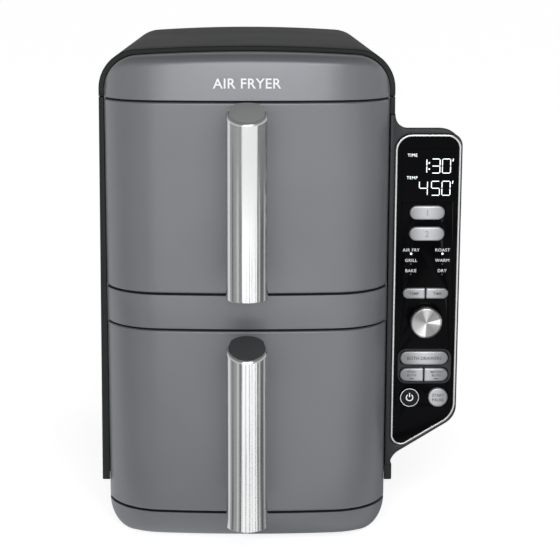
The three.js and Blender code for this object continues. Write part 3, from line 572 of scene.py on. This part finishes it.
def build_drawer_front(level):
    _, y, (low, high) = FRONTS[level]
    edge, flat = 1.5, 0.6
    steps = round_edge(low, high, edge, 5)
    half = len(steps) // 2
    steps[half:half] = [(low + edge + flat, 0), (high - edge - flat, 0)]
    shape = Shape().rings(stack(lambda inset: bowed(inset, y[1]), steps), closed=False, caps=(True, True))
    piece(f"{level}_drawer_shell", shape, f"{level}_drawer", front_grey,
          [f"{level}_drawer_front"], thickness=2.6)


# -------- handles

def slant_height(high, y):
    """Height of the handle's slanted end at a depth y, where high is its height at the back."""
    return high - (HANDLE_Y + HANDLE_R - y) * SLANT


def rear_share(angle):
    """0 on the front of the handle and 1 on its rear, with a short blend at the sides."""
    blend_from, blend_over = 1.75, 0.5
    across = (abs(remainder(angle, 2 * pi)) - blend_from) / blend_over
    return min(max(across, 0), 1)


def bar_ring(angles, radius, height):
    """Points at a radius round the handle's axis. height gives their z from their y and angle."""
    ring = []
    for angle in angles:
        y = HANDLE_Y - radius * cos(angle)
        ring.append((radius * sin(angle), y, height(y, angle)))
    return ring


def build_handle_skin(level):
    """The bright skin round the front and sides of a handle, open at the rear."""
    low, high = span(f"{level}_handle_shell")[2][0], HANDLE_TOP[level]
    reach, tuck = 2.36, 1.4
    angles = [-reach + 2 * reach * k / 96 for k in range(97)]
    outer, inner = HANDLE_R, HANDLE_R - HANDLE_WALL

    def at_bottom(radius, lift):
        return bar_ring(angles, radius, lambda y, angle: low + lift)

    def at_top(radius, drop):
        return bar_ring(angles, radius,
                        lambda y, angle: slant_height(high, y) - drop - tuck * rear_share(angle))

    foot, stem = at_bottom(outer, 1.0), at_top(outer, 2.8)
    under = [(inner, 0.3), (inner + 0.3, 0), (outer - 0.5, 0), (outer - 0.15, 0.15), (outer, 0.5)]
    rim = [(0, 2.2), (0.1, 1.7), (0.35, 1.1), (0.65, 0.6), (1.05, 0.2), (1.5, 0.05)]
    rings = [at_bottom(radius, lift) for radius, lift in under] + [foot]
    for k in range(1, 8):
        rings.append([(x, y, z0 + (z1 - z0) * k / 8) for (x, y, z0), (_, _, z1) in zip(foot, stem)])
    rings += [stem] + [at_top(outer - step, drop) for step, drop in rim]
    rings += [at_top(inner, 0.1), at_top(inner, 2.5)]
    shape = Shape().rings(rings, closed=False, looped=True)
    for i in (0, len(angles) - 1):
        shape.faces.append([r * len(angles) + i for r in range(len(rings))])
    piece(f"{level}_handle_skin", shape, f"{level}_drawer", steel, [f"{level}_handle_shell"],
          sharp=50)


def build_handle_post(level):
    """The dark core of a handle, with the two bridges that carry it on the drawer front."""
    low, high = span(f"{level}_handle_shell")[2][0], HANDLE_TOP[level]
    core = Shape().rings([
        bar_ring(FULL_TURN, POST_R - 0.6, lambda y, angle: low + 0.9),
        bar_ring(FULL_TURN, POST_R, lambda y, angle: low + 1.5),
        bar_ring(FULL_TURN, POST_R, lambda y, angle: slant_height(high, y) - 3.2),
    ], caps=(True, True))
    flare = [(HANDLE_Y + 4, 0), (-5, 0), (-2.4, -0.5), (-0.9, -2), (-0.45, -3.6)]
    for start, stop in ((low + 6, low + 28), (high - 44, high - 20)):
        core.slab(drawn(rectangle(0, (start + stop) / 2, 16, stop - start, 4), 6), [], flare)
    piece(f"{level}_handle_post", core, f"{level}_drawer", handle_dark,
          [f"{level}_handle_core"])


def build_handle_lid(level):
    """The slanted cap of a handle: within the skin in front, and as wide as the skin at the rear."""
    high = HANDLE_TOP[level]
    ledge = HANDLE_R - 0.1 - POST_R

    def ring(drop, inset=0.0, spread=ledge):
        points = []
        for turn in FULL_TURN:
            radius = POST_R + spread * rear_share(turn) - inset
            points += bar_ring([turn], radius, lambda y, angle: slant_height(high, y) - drop)
        return points

    neck = [ring(2.6, spread=0), ring(1.3, spread=0)]
    head = [ring(1.2), ring(0.75), ring(0.45, 0.25), ring(0.3, 0.8)]
    shape = Shape().rings(neck + head, caps=(True, True))
    piece(f"{level}_handle_lid", shape, f"{level}_drawer", caps_lit_and_shaded[level],
          [f"{level}_handle_cap"])


# -------- drawers inside

def build_basket(level):
    """A deep-drawn tub with a rolled rim, held on the drawer front by a flange with four rivets."""
    x, y, z = span(f"{level}_basket")
    low, high = z[0] + 4, z[1] - 7
    front, back = y[0] + 1.4, y[1]
    half, corner, wall = 97, 18, 1.5
    tub = rectangle(0, (front + back) / 2, 2 * half, back - front, corner)
    outer = [(low, 12), (low + 0.4, 8), (low + 2, 5.5), (low + 4.5, 4), (low + 9, 3), (high - 2.4, 1.6)]
    rim = [(high - 2.2, 0.4), (high - 1.4, 0), (high - 0.5, 0.3), (high, 1.1), (high - 0.2, 2.2)]
    inner = [(high - 1, wall + 1.6), (low + 9, wall + 3), (low + 5, wall + 4), (low + 2.6, wall + 6),
             (low + wall + 0.1, wall + 10)]
    shape = Shape().rings(stack(drawn(tub, 12), outer + rim + inner), caps=(True, True))
    flange = rectangle(0, middle(z), size(x), size(z), 5)
    shape.slab(drawn(flange, 6), [], round_edge(y[0], y[0] + 2, 0.5, 3))
    rivet = [(0, 3.4), (2.2, 3.4), (3.6, 2.6), (3.8, 1.6), (0, 1.6)]
    for side in (-92, 92):
        for height in (z[0] + 14, z[1] - 12):
            shape.turned([(radius, y[0] + at) for radius, at in rivet], side, height, sides=20)
    piece(f"{level}_basket_tub", shape, f"{level}_drawer", non_stick, [f"{level}_basket"])


def build_crisper(level):
    """A plate with staggered rows of slots, on four short feet."""
    x, y, z = span(f"{level}_crisper_plate")
    centre, top = middle(y), z[1]
    column_pitch, row_pitch = 18, 30
    slots = []
    for column in range(-4, 5):
        odd = column % 2
        for row in range(-4, 4 if odd else 5):
            at = centre + row_pitch * row + (row_pitch / 2 if odd else 0)
            slots.append(rectangle(column_pitch * column, at, 5, 22, 2.45))
    plan = rectangle(0, centre, size(x), size(y), 15)
    shape = Shape().slab(drawn(plan, 8), [drawn(slot, 3) for slot in slots], round_edge(top - 2, top, 0.5, 2),
                         along="z")
    foot = [(0, z[0]), (3, z[0]), (3.8, z[0] + 1), (4.4, top - 1.5), (0, top - 1.5)]
    for across in (-74, 74):
        for along in (-118, 118):
            shape.turned(foot, across, centre + along, along="z", sides=20)
    piece(f"{level}_crisper_rack", shape, f"{level}_rack", non_stick,
          [f"{level}_crisper_plate"])


def build_heater(level):
    """A heater tube: one lap in front of the fan, with both ends led out through the wall behind it."""
    _, y, z = span(f"{level}_heater")
    centre, radius, tube = middle(z), 54, 3.2
    lap_y, bend_y, lead_x, opening = 354, 361, 6, 0.22
    turns = [-pi / 2 + opening + (2 * pi - 2 * opening) * k / 40 for k in range(41)]
    lap = [(radius * cos(a), lap_y, centre + radius * sin(a)) for a in turns]
    lead = [(lead_x, at, centre - radius) for at in (y[1], bend_y)]
    path = [Vector(p) for p in lead + lap + [(-x, at, z) for x, at, z in reversed(lead)]]
    rings = []
    for here, run in zip(path, runs(path)):
        side = run.cross(Vector((0, 1, 0.001))).normalized()
        if side.dot(here - Vector((0, here.y, centre))) < 0:
            side = -side
        other = run.cross(side)
        rings.append([tuple(here + (side * cos(a) + other * sin(a)) * tube)
                      for a in [pi / 6 * k for k in range(12)]])
    piece(f"{level}_heater_ring", Shape().rings(rings, caps=(True, True)), "housing", heater_metal,
          [f"{level}_heater"])


def build_guard(level):
    """A round plate in front of the fan, with two circles of slots that point at its middle."""
    x, y, z = span(f"{level}_fan_guard")
    centre, radius = middle(z), size(x) / 2

    def rim(inset):
        reach = radius - inset
        return [Vector((reach * cos(a), centre + reach * sin(a)))
                for a in [pi / 32 * k for k in range(64)]]

    def spoke(turn, near, far):
        bar, turned = rectangle((near + far) / 2, 0, far - near, 5, 2.4), Matrix.Rotation(turn, 2)
        return lambda inset: [turned @ p + Vector((0, centre)) for p in outline(bar, inset, 4)]

    slots = [spoke(pi / count * 2 * k, near, far)
             for count, near, far in ((24, 34, 56), (12, 14, 29)) for k in range(count)]
    shape = Shape().slab(rim, slots, round_edge(y[0], y[1], 0.4, 2))
    piece(f"{level}_guard_plate", shape, "housing", sheet_metal, [f"{level}_fan_guard"])


# -------- rear and underside

def build_vent(level):
    x, y, z = span(f"{level}_vent_cover")
    centre = middle(z)
    column_pitch, row_pitch = 26, 7.4
    slots = [rectangle(column * column_pitch, centre + row * row_pitch, 21, 4.2, 2.05)
             for column in (-1.5, -0.5, 0.5, 1.5) for row in range(-3, 4)]
    holes = [lambda inset, slot=slot: outline(slot, max(inset, -0.3), 4) for slot in slots]
    layers = [(y[0], 0), (y[1] - 3.4, 0.2), (y[1] - 1.6, 0.9), (y[1] - 0.5, 2), (y[1], 3.4)]
    shape = Shape().slab(drawn(rectangle(0, centre, size(x), size(z), 8), 8), holes, layers)
    piece(f"{level}_vent_grille", shape, "housing", base_dark, [f"{level}_vent_cover"])


def build_screws():
    """Pan-head screws with a round recess that hold the rear panel."""
    _, y, z = span("rear_panel")
    head = [(0, 1.5), (0.9, 1.55), (0.9, 2.1), (2.3, 1.8), (3.3, 1.1), (3.6, 0.4), (3.6, 0), (0, 0)]
    profile = [(radius, y[1] + at) for radius, at in head]
    places = [(side, height) for side in (-88, 88) for height in (z[0] + 14, middle(z) - 20, z[1] - 12)]
    for n, (side, height) in enumerate(places):
        shape = Shape().turned(profile, side, height, sides=24)
        piece(f"rear_screw_{n + 1}", shape, "housing", sheet_metal)


def build_feet():
    for node in ("front_left_foot", "front_right_foot", "rear_left_foot", "rear_right_foot"):
        x, y, z = span(node)
        pad = [(0, 0.6), (5.6, 0.6), (6, 0), (8.4, 0), (9.4, 0.25), (10.2, 0.9), (10.5, 1.6), (9.9, 3.4)]
        shape = Shape().turned(pad + [(9.6, z[1]), (0, z[1])], middle(x), middle(y), along="z", sides=40)
        piece(f"{node}_pad", shape, "housing", soft_rubber, [node])


def build_gland():
    """The bush that the mains cord would leave by."""
    x, y, z = span("cord_gland")
    bore, start, stop = 4, y[0], y[1]
    collar = [(6, 0), (6, 7.3), (9.2, 7.3), (9.5, 7.7), (9.5, 9.2), (8.8, 9.8), (7.6, 10.4)]
    profile = [(bore, start), *[(radius, start + at) for radius, at in collar], (7.2, stop - 0.8),
               (6.6, stop), (4.6, stop), (bore, stop - 0.6), (bore, start)]
    shape = Shape().turned(profile, middle(x), middle(z), sides=40)
    piece("cord_inlet_bush", shape, "housing", soft_rubber, ["cord_gland"])


# -------- control pod

POD_FRONT, POD_BACK = POD[1]
RING_X, RING_Y, RING_Z = span("panel_trim_ring")
TRIM = [(RING_X[0], 61.8, 8), (RING_X[1], 92.7, 19), (RING_X[1], RING_Z[1], 11), (RING_X[0], RING_Z[1], 13)]
FLANGE_X, POD_RIGHT = POD[0]
POD_LEFT = CASING_HALF + 0.3
POD_SEAT = POD[2]
POD_TAPER = 3.4
POD_WALL = 2.4
POD_TOP = span("pod_rear_cover")[2][1] + POD_TAPER


def pod_corners(taper=0.0):
    """Corners of the pod's outline, from the casing round its slanted foot and its top."""
    left, right, top = POD_LEFT, POD_RIGHT - taper, POD_TOP - taper
    return [(left, POD_SEAT[0] + taper, 0), (left + 0.8, 58.7 + taper, 15), (right, 91 + taper, 17),
            (right, top, 17), (left + 0.4, top, 10.4), (left, POD_SEAT[1] - taper, 0)]


def pod_cavity(taper):
    left, right, top = 117.2, POD_RIGHT - POD_WALL - taper, POD_TOP - POD_WALL - taper
    return [(left, 63 + taper, 3), (right, 92.6 + taper, 15), (right, top, 14.6), (left, top, 3)]


def build_pod_body():
    """The rim round the panel with its flange against the casing, and the tapering wall behind it."""
    flange = [(FLANGE_X, POD_SEAT[0], 0), *pod_corners(), (FLANGE_X, POD_SEAT[1], 0)]
    shape = Shape().slab(
        drawn(flange, 12), [lambda inset: outline(TRIM, -0.3 + min(inset, 0), 12)],
        [(POD_FRONT, 0.7), (POD_FRONT + 0.2, 0.3), (POD_FRONT + 0.7, 0), (POD_FRONT + 4, 0)],
    )
    bend = [(POD_FRONT + 2, 0), (POD_FRONT + 7, 0), (POD_FRONT + 13, 0.5), (POD_FRONT + 20, 1.6),
            (POD_BACK, POD_TAPER)]
    shape.slab(lambda taper: outline(pod_corners(taper), 0, 12),
               [lambda taper: outline(pod_cavity(-taper), 0, 8)], bend)
    piece("pod_body", shape, "housing", pod_dark, ["pod_shell"])


def build_pod_back():
    front, back = span("pod_rear_cover")[1]
    left, right, top = POD_LEFT + 0.3, POD_RIGHT - POD_TAPER, POD_TOP - POD_TAPER
    plan = [(left, 59.2 + POD_TAPER, 2), (right, 91 + POD_TAPER, 17), (right, top, 17), (left, top, 2)]
    layers = [(front, 0), (back - 2, 0.1), (back - 1, 0.5), (back - 0.3, 1.1), (back, 1.9)]
    piece("pod_back", Shape().slab(drawn(plan, 14), [], layers), "housing", pod_dark,
          ["pod_rear_cover"])


def build_panel_ring():
    """The bright line round the panel."""
    front, back = RING_Y
    layers = [(front, 0.5), (front + 0.1, 0.25), (front + 0.4, 0), (back, 0)]
    piece("panel_ring", Shape().slab(drawn(TRIM, 16), [drawn(TRIM, 16, 1.6)], layers), "housing", silver_line,
          ["panel_trim_ring"])


PILLS = ("zone_1_button", "zone_2_button", "both_zones_button")
SPLITS = (("temperature_button", "time_button"), ("finish_together_button", "match_zones_button"))
ROUNDS = ("power_button", "start_pause_button")


def key_corners(*nodes):
    """Corners of the box round one key or a split pair, with fully round ends."""
    boxes = [span(node) for node in nodes]
    x = (min(b[0][0] for b in boxes), max(b[0][1] for b in boxes))
    z = boxes[0][2]
    return rectangle(middle(x), middle(z), size(x), size(z), size(z) / 2 - 0.03)


def build_panel():
    """The gloss panel with a hole for each key and for the dial's stem, and the pane of the display."""
    window, knob = span("display_window"), span("dial_knob")
    glass = rectangle(middle(window[0]), middle(window[2]), size(window[0]), size(window[2]), 2)
    hub = rectangle(middle(knob[0]), middle(knob[2]), 6.6, 6.6, 3.28)
    keys = [(pill,) for pill in PILLS] + list(SPLITS) + [(key,) for key in ROUNDS]
    holes = [drawn(key_corners(*nodes), 10, -0.35) for nodes in keys] + [drawn(glass, 8), drawn(hub, 8)]
    layers = [(PANEL_FRONT, 0.2), (PANEL_FRONT + 0.2, 0), (PANEL[1][1], 0)]
    face = Shape().slab(drawn(TRIM, 16, 1.9), holes, layers)
    piece("panel_face", face, "housing", gloss_black, ["control_panel"])
    pane = Shape().slab(drawn(glass, 8, 0.03), [], [(PANEL_FRONT, 0), (window[1][1], 0)])
    piece("display_pane", pane, "housing", gloss_black, ["display_window"])


def build_key_plaque():
    """The lighter field round the drawer keys in the lower part of the panel."""
    low = span("match_zones_button")[2][0] - 2
    high = span("both_zones_button")[2][1] + 1.9
    field = rectangle(PANEL_X, (low + high) / 2, 42.4, high - low, 7)
    holes = [drawn(key_corners(*nodes), 10, -0.5) for nodes in (("both_zones_button",), SPLITS[1])]
    layers = [(PANEL_FRONT - 0.3, 0.2), (PANEL_FRONT - 0.15, 0), (PANEL_FRONT + 0.1, 0)]
    piece("key_plaque", Shape().slab(drawn(field, 8), holes, layers), "housing", key_field)


def build_keys():
    """Key caps with cushioned faces; where a pair is split, its inner ends are square."""
    finishes = {"power_button": key_black, "start_pause_button": start_silver}
    for node in PILLS + SPLITS[0] + SPLITS[1] + ROUNDS:
        x, y, z = span(node)
        end, square = size(z) / 2 - 0.03, 0.7
        right = square if node in (pair[0] for pair in SPLITS) else end
        left = square if node in (pair[1] for pair in SPLITS) else end
        corners = rectangle(middle(x), middle(z), size(x), size(z), left, right)
        cushion = [(0, 1.7), (0.05, 1.1), (0.22, 0.6), (0.5, 0.2), (0.9, 0)]
        layers = [(y[0] + at, inset) for at, inset in cushion] + [(y[1], 0)]
        shape = Shape().slab(drawn(corners, 12), [], layers)
        finish = finishes.get(node, key_silver)
        piece(node.replace("_button", "_cap"), shape, node.replace("_button", "_key"), finish,
              [node])


def build_dial():
    """A knob with a slightly hollow face and fine flutes round its grip."""
    x, y, z = span("dial_knob")
    cx, cz, r = middle(x), middle(z), size(x) / 2
    front, foot_y = y[0], PANEL_FRONT - 0.6
    sides, flute_step, flute_share = 144, 3, 0.985
    face = [(0, front + 0.25), (r * 0.35, front + 0.2), (r - 1.9, front), (r - 1.4, front + 0.05),
            (r - 0.7, front + 0.6), (r - 0.15, front + 1.2)]
    grip = [(r, front + 1.9), (r, PANEL_FRONT - 1.6)]
    foot = [(r - 0.3, PANEL_FRONT - 0.9), (r - 0.7, foot_y), (3, foot_y), (3, y[1]), (0, y[1])]
    shape = Shape().turned(face + grip + foot, cx, cz, sides=sides)
    for ring in range(len(face), len(face) + len(grip)):
        for at in range(ring * sides, (ring + 1) * sides, flute_step):
            vx, vy, vz = shape.verts[at]
            shape.verts[at] = (cx + (vx - cx) * flute_share, vy, cz + (vz - cz) * flute_share)
    piece("dial", shape, "dial", spun_steel, ["dial_knob"], sharp=40)


# -------- print and display

class Print:
    """Thin lettering and symbols on the panel or on a key, gathered into one piece."""

    def __init__(self, y, wrap=None):
        self.y = y
        self.wrap = wrap
        self.shape = Shape()

    def strip(self, points, width):
        """A stroke of even width through (x, z) points."""
        path = [Vector(p) for p in points]
        left, right = [], []
        for here, run in zip(path, runs(path)):
            side = Vector((-run.y, run.x)) * width / 2
            left.append(here + side)
            right.append(here - side)
        rings = [[(p.x, at, p.y) for p in left + right[::-1]] for at in (self.y, self.y + 0.05)]
        count = len(path)
        faces = [[i, i + 1, 2 * count - 2 - i, 2 * count - 1 - i] for i in range(count - 1)]
        self.shape.rings(rings)
        self.shape.add(rings[0], faces).add(rings[1], faces)
        return self

    def circle(self, x, z, radius, width, start=0.0, stop=360.0):
        """A ring, or an arc of it in degrees clockwise from its top."""
        angles = [radians(start + (stop - start) * k / 40) for k in range(41)]
        return self.strip([(x + radius * sin(a), z + radius * cos(a)) for a in angles], width)

    def dot(self, x, z, radius):
        plan = rectangle(x, z, 2 * radius, 2 * radius, radius * 0.98)
        self.shape.slab(drawn(plan, 5), [], [(self.y, 0), (self.y + 0.05, 0)])
        return self

    def text(self, words, x, z, height, spacing=1.0, weight=0.02):
        """Capitals of a height, centred on (x, z) and made bolder by weight."""
        curve = bpy.data.curves.new("words", "FONT")
        curve.body = words
        curve.size = height / 0.72
        curve.space_character = spacing
        curve.align_x = "CENTER"
        curve.extrude = 0.025
        curve.offset = height * weight
        curve.resolution_u = 3
        holder = in_scene("words", curve)
        depsgraph = bpy.context.evaluated_depsgraph_get()
        mesh = bpy.data.meshes.new_from_object(holder.evaluated_get(depsgraph))
        verts = [(x + v.co.x, self.y + 0.025 - v.co.z, z - height / 2 + v.co.y) for v in mesh.vertices]
        if self.wrap:
            verts = [(vx, vy + self.wrap(vx), vz) for vx, vy, vz in verts]
        self.shape.add(verts, [list(p.vertices) for p in mesh.polygons])
        bpy.data.objects.remove(holder)
        bpy.data.meshes.remove(mesh)
        bpy.data.curves.remove(curve)
        return self

    def make(self, name, body, material, slot):
        piece(name, self.shape, body, material, sharp=60)


SEGMENTS = {"0": "abcdef", "1": "bc", "3": "abgcd", "4": "fgbc", "5": "afgcd"}


def seven_segment(printer, digit, x, z, width, height, stroke=0.66):
    """A digit of bars a, g and d, and of posts f and b above e and c."""
    half_w, half_h, gap = width / 2, height / 2, stroke * 0.62
    bars = {"a": half_h, "g": 0, "d": -half_h}
    posts = {"f": (-half_w, 1), "b": (half_w, 1), "e": (-half_w, -1), "c": (half_w, -1)}
    for segment in SEGMENTS[digit]:
        if segment in bars:
            at = z + bars[segment]
            printer.strip([(x + (gap - half_w), at), (x + (half_w - gap), at)], stroke)
        else:
            side, up = posts[segment]
            printer.strip([(x + side, z + end) for end in sorted((up * gap, up * (half_h - gap)))], stroke)


def build_display():
    """Two rows of lit digits, each with its caption and a tick after it, and a colon in the upper row."""
    (left, right), _, (_, top) = span("display_window")
    lit = Print(PANEL_FRONT - 0.06)
    upper, lower = top - 13.2, top - 30.6
    width, height = 6.3, 11.0
    for digit, back, z in (("3", 14.4, upper), ("5", 14.4, lower), ("0", 6.2, upper), ("0", 6.2, lower),
                           ("1", 24.6, upper), ("4", 23.8, lower)):
        seven_segment(lit, digit, right - back, z, width, height)
    for z in (upper + 2.4, upper - 2.4):
        lit.dot(right - 19.6, z, 0.6)
    for z in (upper, lower):
        lit.strip([(right - 0.9, z + height / 2 + 0.3), (right - 1.3, z + height / 2 - 1.9)], 0.7)
    for caption, drop in (("TIME", 4.7), ("TEMP", 22.3)):
        lit.text(caption, left + 8.0, top - drop, 2.4, spacing=1.1, weight=0)
    lit.make("display_digits", "housing", lit_white, "display_lens")


def build_function_words():
    """The cooking functions in two columns, each with a lamp below it. The lamps of the first row are lit."""
    first, row_pitch, column = span("zone_2_button")[2][0] - 7.4, 8.25, 12.3
    words = (("AIR FRY", "ROAST"), ("GRILL", "WARM"), ("BAKE", "DRY"))
    white, off, on = Print(PANEL_FRONT - 0.05), Print(PANEL_FRONT - 0.05), Print(PANEL_FRONT - 0.06)
    for row, pair in enumerate(words):
        z = first - row_pitch * row
        lamps, radius = (off, 0.6) if row else (on, 0.85)
        for x, word in zip((PANEL_X - column, PANEL_X + column), pair):
            white.text(word, x, z, 2.5, spacing=1.1, weight=0)
            lamps.dot(x, z - 3.0, radius)
    white.make("function_words", "housing", print_white, "silver_trim")
    off.make("function_lamps_off", "housing", lamp_off, "gloss_panel")
    on.make("function_lamps_lit", "housing", lit_white, "display_lens")


def build_badge():
    badge = Print(-0.06, wrap=bow_depth)
    badge.text("AIR FRYER", 0, FRONTS["upper"][2][1] + 14.5, 7.6, spacing=1.05)
    badge.make("front_words", "housing", print_white, "silver_trim")


# Lines of print on each key: words, height above the middle of the key, height of the letters.
KEY_WORDS = {
    "zone_1_button": [("1", 0, 5.0)],
    "zone_2_button": [("2", 0, 5.0)],
    "temperature_button": [("TEMP", 0, 2.3)],
    "time_button": [("TIME", 0, 2.3)],
    "both_zones_button": [("BOTH DRAWERS", 0, 2.6)],
    "finish_together_button": [("SYNC", 2.4, 1.9), ("BOTH", -0.4, 1.9)],
    "match_zones_button": [("MATCH", 2.4, 1.9), ("BOTH", -0.4, 1.9)],
    "start_pause_button": [("START", 1.9, 2.4), ("PAUSE", -1.9, 2.4)],
}


def build_key_labels():
    for node, lines in KEY_WORDS.items():
        x, y, z = span(node)
        cx, cz = middle(x), middle(z)
        ink = Print(y[0] - 0.04)
        for words, rise, height in lines:
            ink.text(words, cx, cz + rise, height)
        if node in SPLITS[1]:
            ink.strip([(cx - 1.7, cz - 3.1), (cx + 1.7, cz - 3.1)], 0.8)
        ink.make(node.replace("_button", "_label"), node.replace("_button", "_key"),
                 print_silver if node in PILLS[:2] else print_grey, "silver_key")


def build_power_symbol():
    x, y, z = span("power_button")
    cx, cz, r = middle(x), middle(z), size(x) / 2
    ring = Print(y[0] - 0.04).circle(cx, cz, r - 0.5, 0.42)
    ring.circle(cx, cz, 2.6, 0.8, 34, 326).strip([(cx, cz + 0.4), (cx, cz + 3.7)], 0.8)
    ring.make("power_symbol", "power_key", print_white, "silver_key")


# -------- carried-over CAD nodes

def dress_cad_nodes():
    """Finishes and softened edges for the CAD nodes that show their own shape."""
    finishes = {
        casing_dark: ["left_side_panel", "right_side_panel", "rear_panel"],
        base_dark: ["base_pan", "display_module", "dial_encoder"],
        mineral_wool: ["mid_insulation"],
        board_green: ["power_board", "control_board"],
        sheet_metal: [f"{level}_{part}" for level in LEVELS
                      for part in ("cavity_liner", "heat_chamber", "fan_rotor", "fan_motor")],
    }
    edges = {"left_side_panel": 0.5, "right_side_panel": 0.5, "rear_panel": 0.5, "base_pan": 0.8,
             "mid_insulation": 2.5}
    for material, names in finishes.items():
        for name in names:
            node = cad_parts[name]
            node.data.materials.clear()
            node.data.materials.append(material)
            weld = node.modifiers.new("weld", "WELD")
            weld.merge_threshold = 1e-6
            node.data.shade_smooth()
            soften(node, edges.get(name, 0.25))


# -------- stage, light and camera

def flat_stage(name, corners, height, material):
    """A level sheet that belongs to the stage, not to the object."""
    mesh = bpy.data.meshes.new(name)
    mesh.from_pydata([(x, y, height) for x, y in corners], [], [list(range(len(corners)))])
    mesh.materials.append(material)
    obj = in_scene(name, mesh)
    return obj


def shining(name, level):
    """A matt stage surface that also glows white at a level."""
    matt = surface(name, (60, 60, 60), 0.9, grain=60, bump=0, mottle=0.02, specular=0)
    return glow(matt, (1, 1, 1, 1), level)


def build_floor():
    """A wide pale floor."""
    reach = 40
    pale = shining("floor_pale", 0.74)
    stops = pale.node_tree.nodes["Color Ramp"].color_ramp.elements
    for stop, level in zip(stops, (0.86, 0.88)):
        stop.color = (level, level, level, 1)
    flat_stage("floor", [(-reach, -reach), (reach, -reach), (reach, reach), (-reach, reach)], 0, pale)


# Fans on the floor in front of the bar handles: degrees from straight ahead, reach in metres, brightness.
CARDS = (
    (-178, -104, 14, 0.8), (-104, -27, 14, 0.34), (58, 178, 14, 0.21),
    (-88, -78, 2.6, 0.08), (-56, -46, 2.2, 0.62), (-36, -30, 1.8, 0.06),
    (-8, -3, 1.3, 0.45), (11, 15, 1.5, 0.12), (26, 30, 1.3, 0.35), (43, 47, 1.6, 0.15),
    (66, 73, 2.2, 0.75), (86, 96, 1.8, 0.05), (108, 118, 2, 0.55),
)


def build_cards():
    """Cards on the floor that only show as reflections in the glossy surfaces."""
    centre = place(0, HANDLE_Y, 0)
    for n, (start, stop, far, level) in enumerate(CARDS):
        angles = [radians(start + (stop - start) * k / 12) for k in range(13)]
        rim = [(centre.x + far * sin(a), centre.y - far * cos(a)) for a in angles]
        name, height = f"card_{n + 1}", 0.002 + 0.0005 * n
        card = flat_stage(name, [(centre.x, centre.y), *rim], height, shining(name, level))
        card.visible_camera = False
        card.visible_diffuse = False
        card.visible_shadow = False


def area_light(name, location, target, sides, power):
    data = bpy.data.lights.new(name, "AREA")
    data.shape = "RECTANGLE"
    data.size, data.size_y = sides
    data.energy = power
    obj = in_scene(name, data)
    obj.location = location
    obj.rotation_euler = (Vector(target) - Vector(location)).to_track_quat("-Z", "Y").to_euler()


def build_light():
    """A room that is bright near the horizon and dim overhead, with two soft lights in front."""
    horizon, overhead = 0.8, 0.22
    world = bpy.data.worlds.new("studio")
    bpy.context.scene.world = world
    world.use_nodes = True
    tree = world.node_tree
    direction = add_node(tree, "TexCoord", {}).outputs["Generated"]
    split = add_node(tree, "SeparateXYZ", {"Vector": direction})
    level = remap(tree, split.outputs["Z"], (0, 0.6), (horizon, overhead))
    connect(tree, tree.nodes["Background"], {"Color": (1, 1, 1, 1), "Strength": level})
    area_light("front_high", (0.15, -1.7, 1.1), (MIDDLE_X, 0, 0.25), (1.2, 0.5), 8)
    area_light("front_level", (-0.1, -1.9, 0.66), (MIDDLE_X, 0, 0.35), (1.3, 0.22), 6)


def build_camera():
    """1.2 m in front of the object and a little above its top, looking 11 degrees down."""
    data = bpy.data.cameras.new("camera")
    data.sensor_width = 36
    data.lens = 103.5
    data.shift_x = 0.059
    camera = in_scene("camera", data)
    camera.location = place(0, -1202, 451.2)
    camera.rotation_euler = (radians(90 - 11.3), 0, 0)
    bpy.context.scene.camera = camera
    bpy.context.scene.view_settings.view_transform = "Standard"


build_camera()
build_floor()
build_cards()
build_light()
build_top_cover()
build_front_frame()
build_shade_seals()
for level_name in LEVELS:
    for build in (build_drawer_front, build_handle_skin, build_handle_post, build_handle_lid, build_basket,
                  build_crisper, build_heater, build_guard, build_vent):
        build(level_name)
for build in (build_screws, build_feet, build_gland, build_pod_body, build_pod_back, build_panel_ring,
              build_panel, build_key_plaque, build_keys, build_dial, build_display, build_function_words,
              build_badge, build_key_labels, build_power_symbol, dress_cad_nodes):
    build()
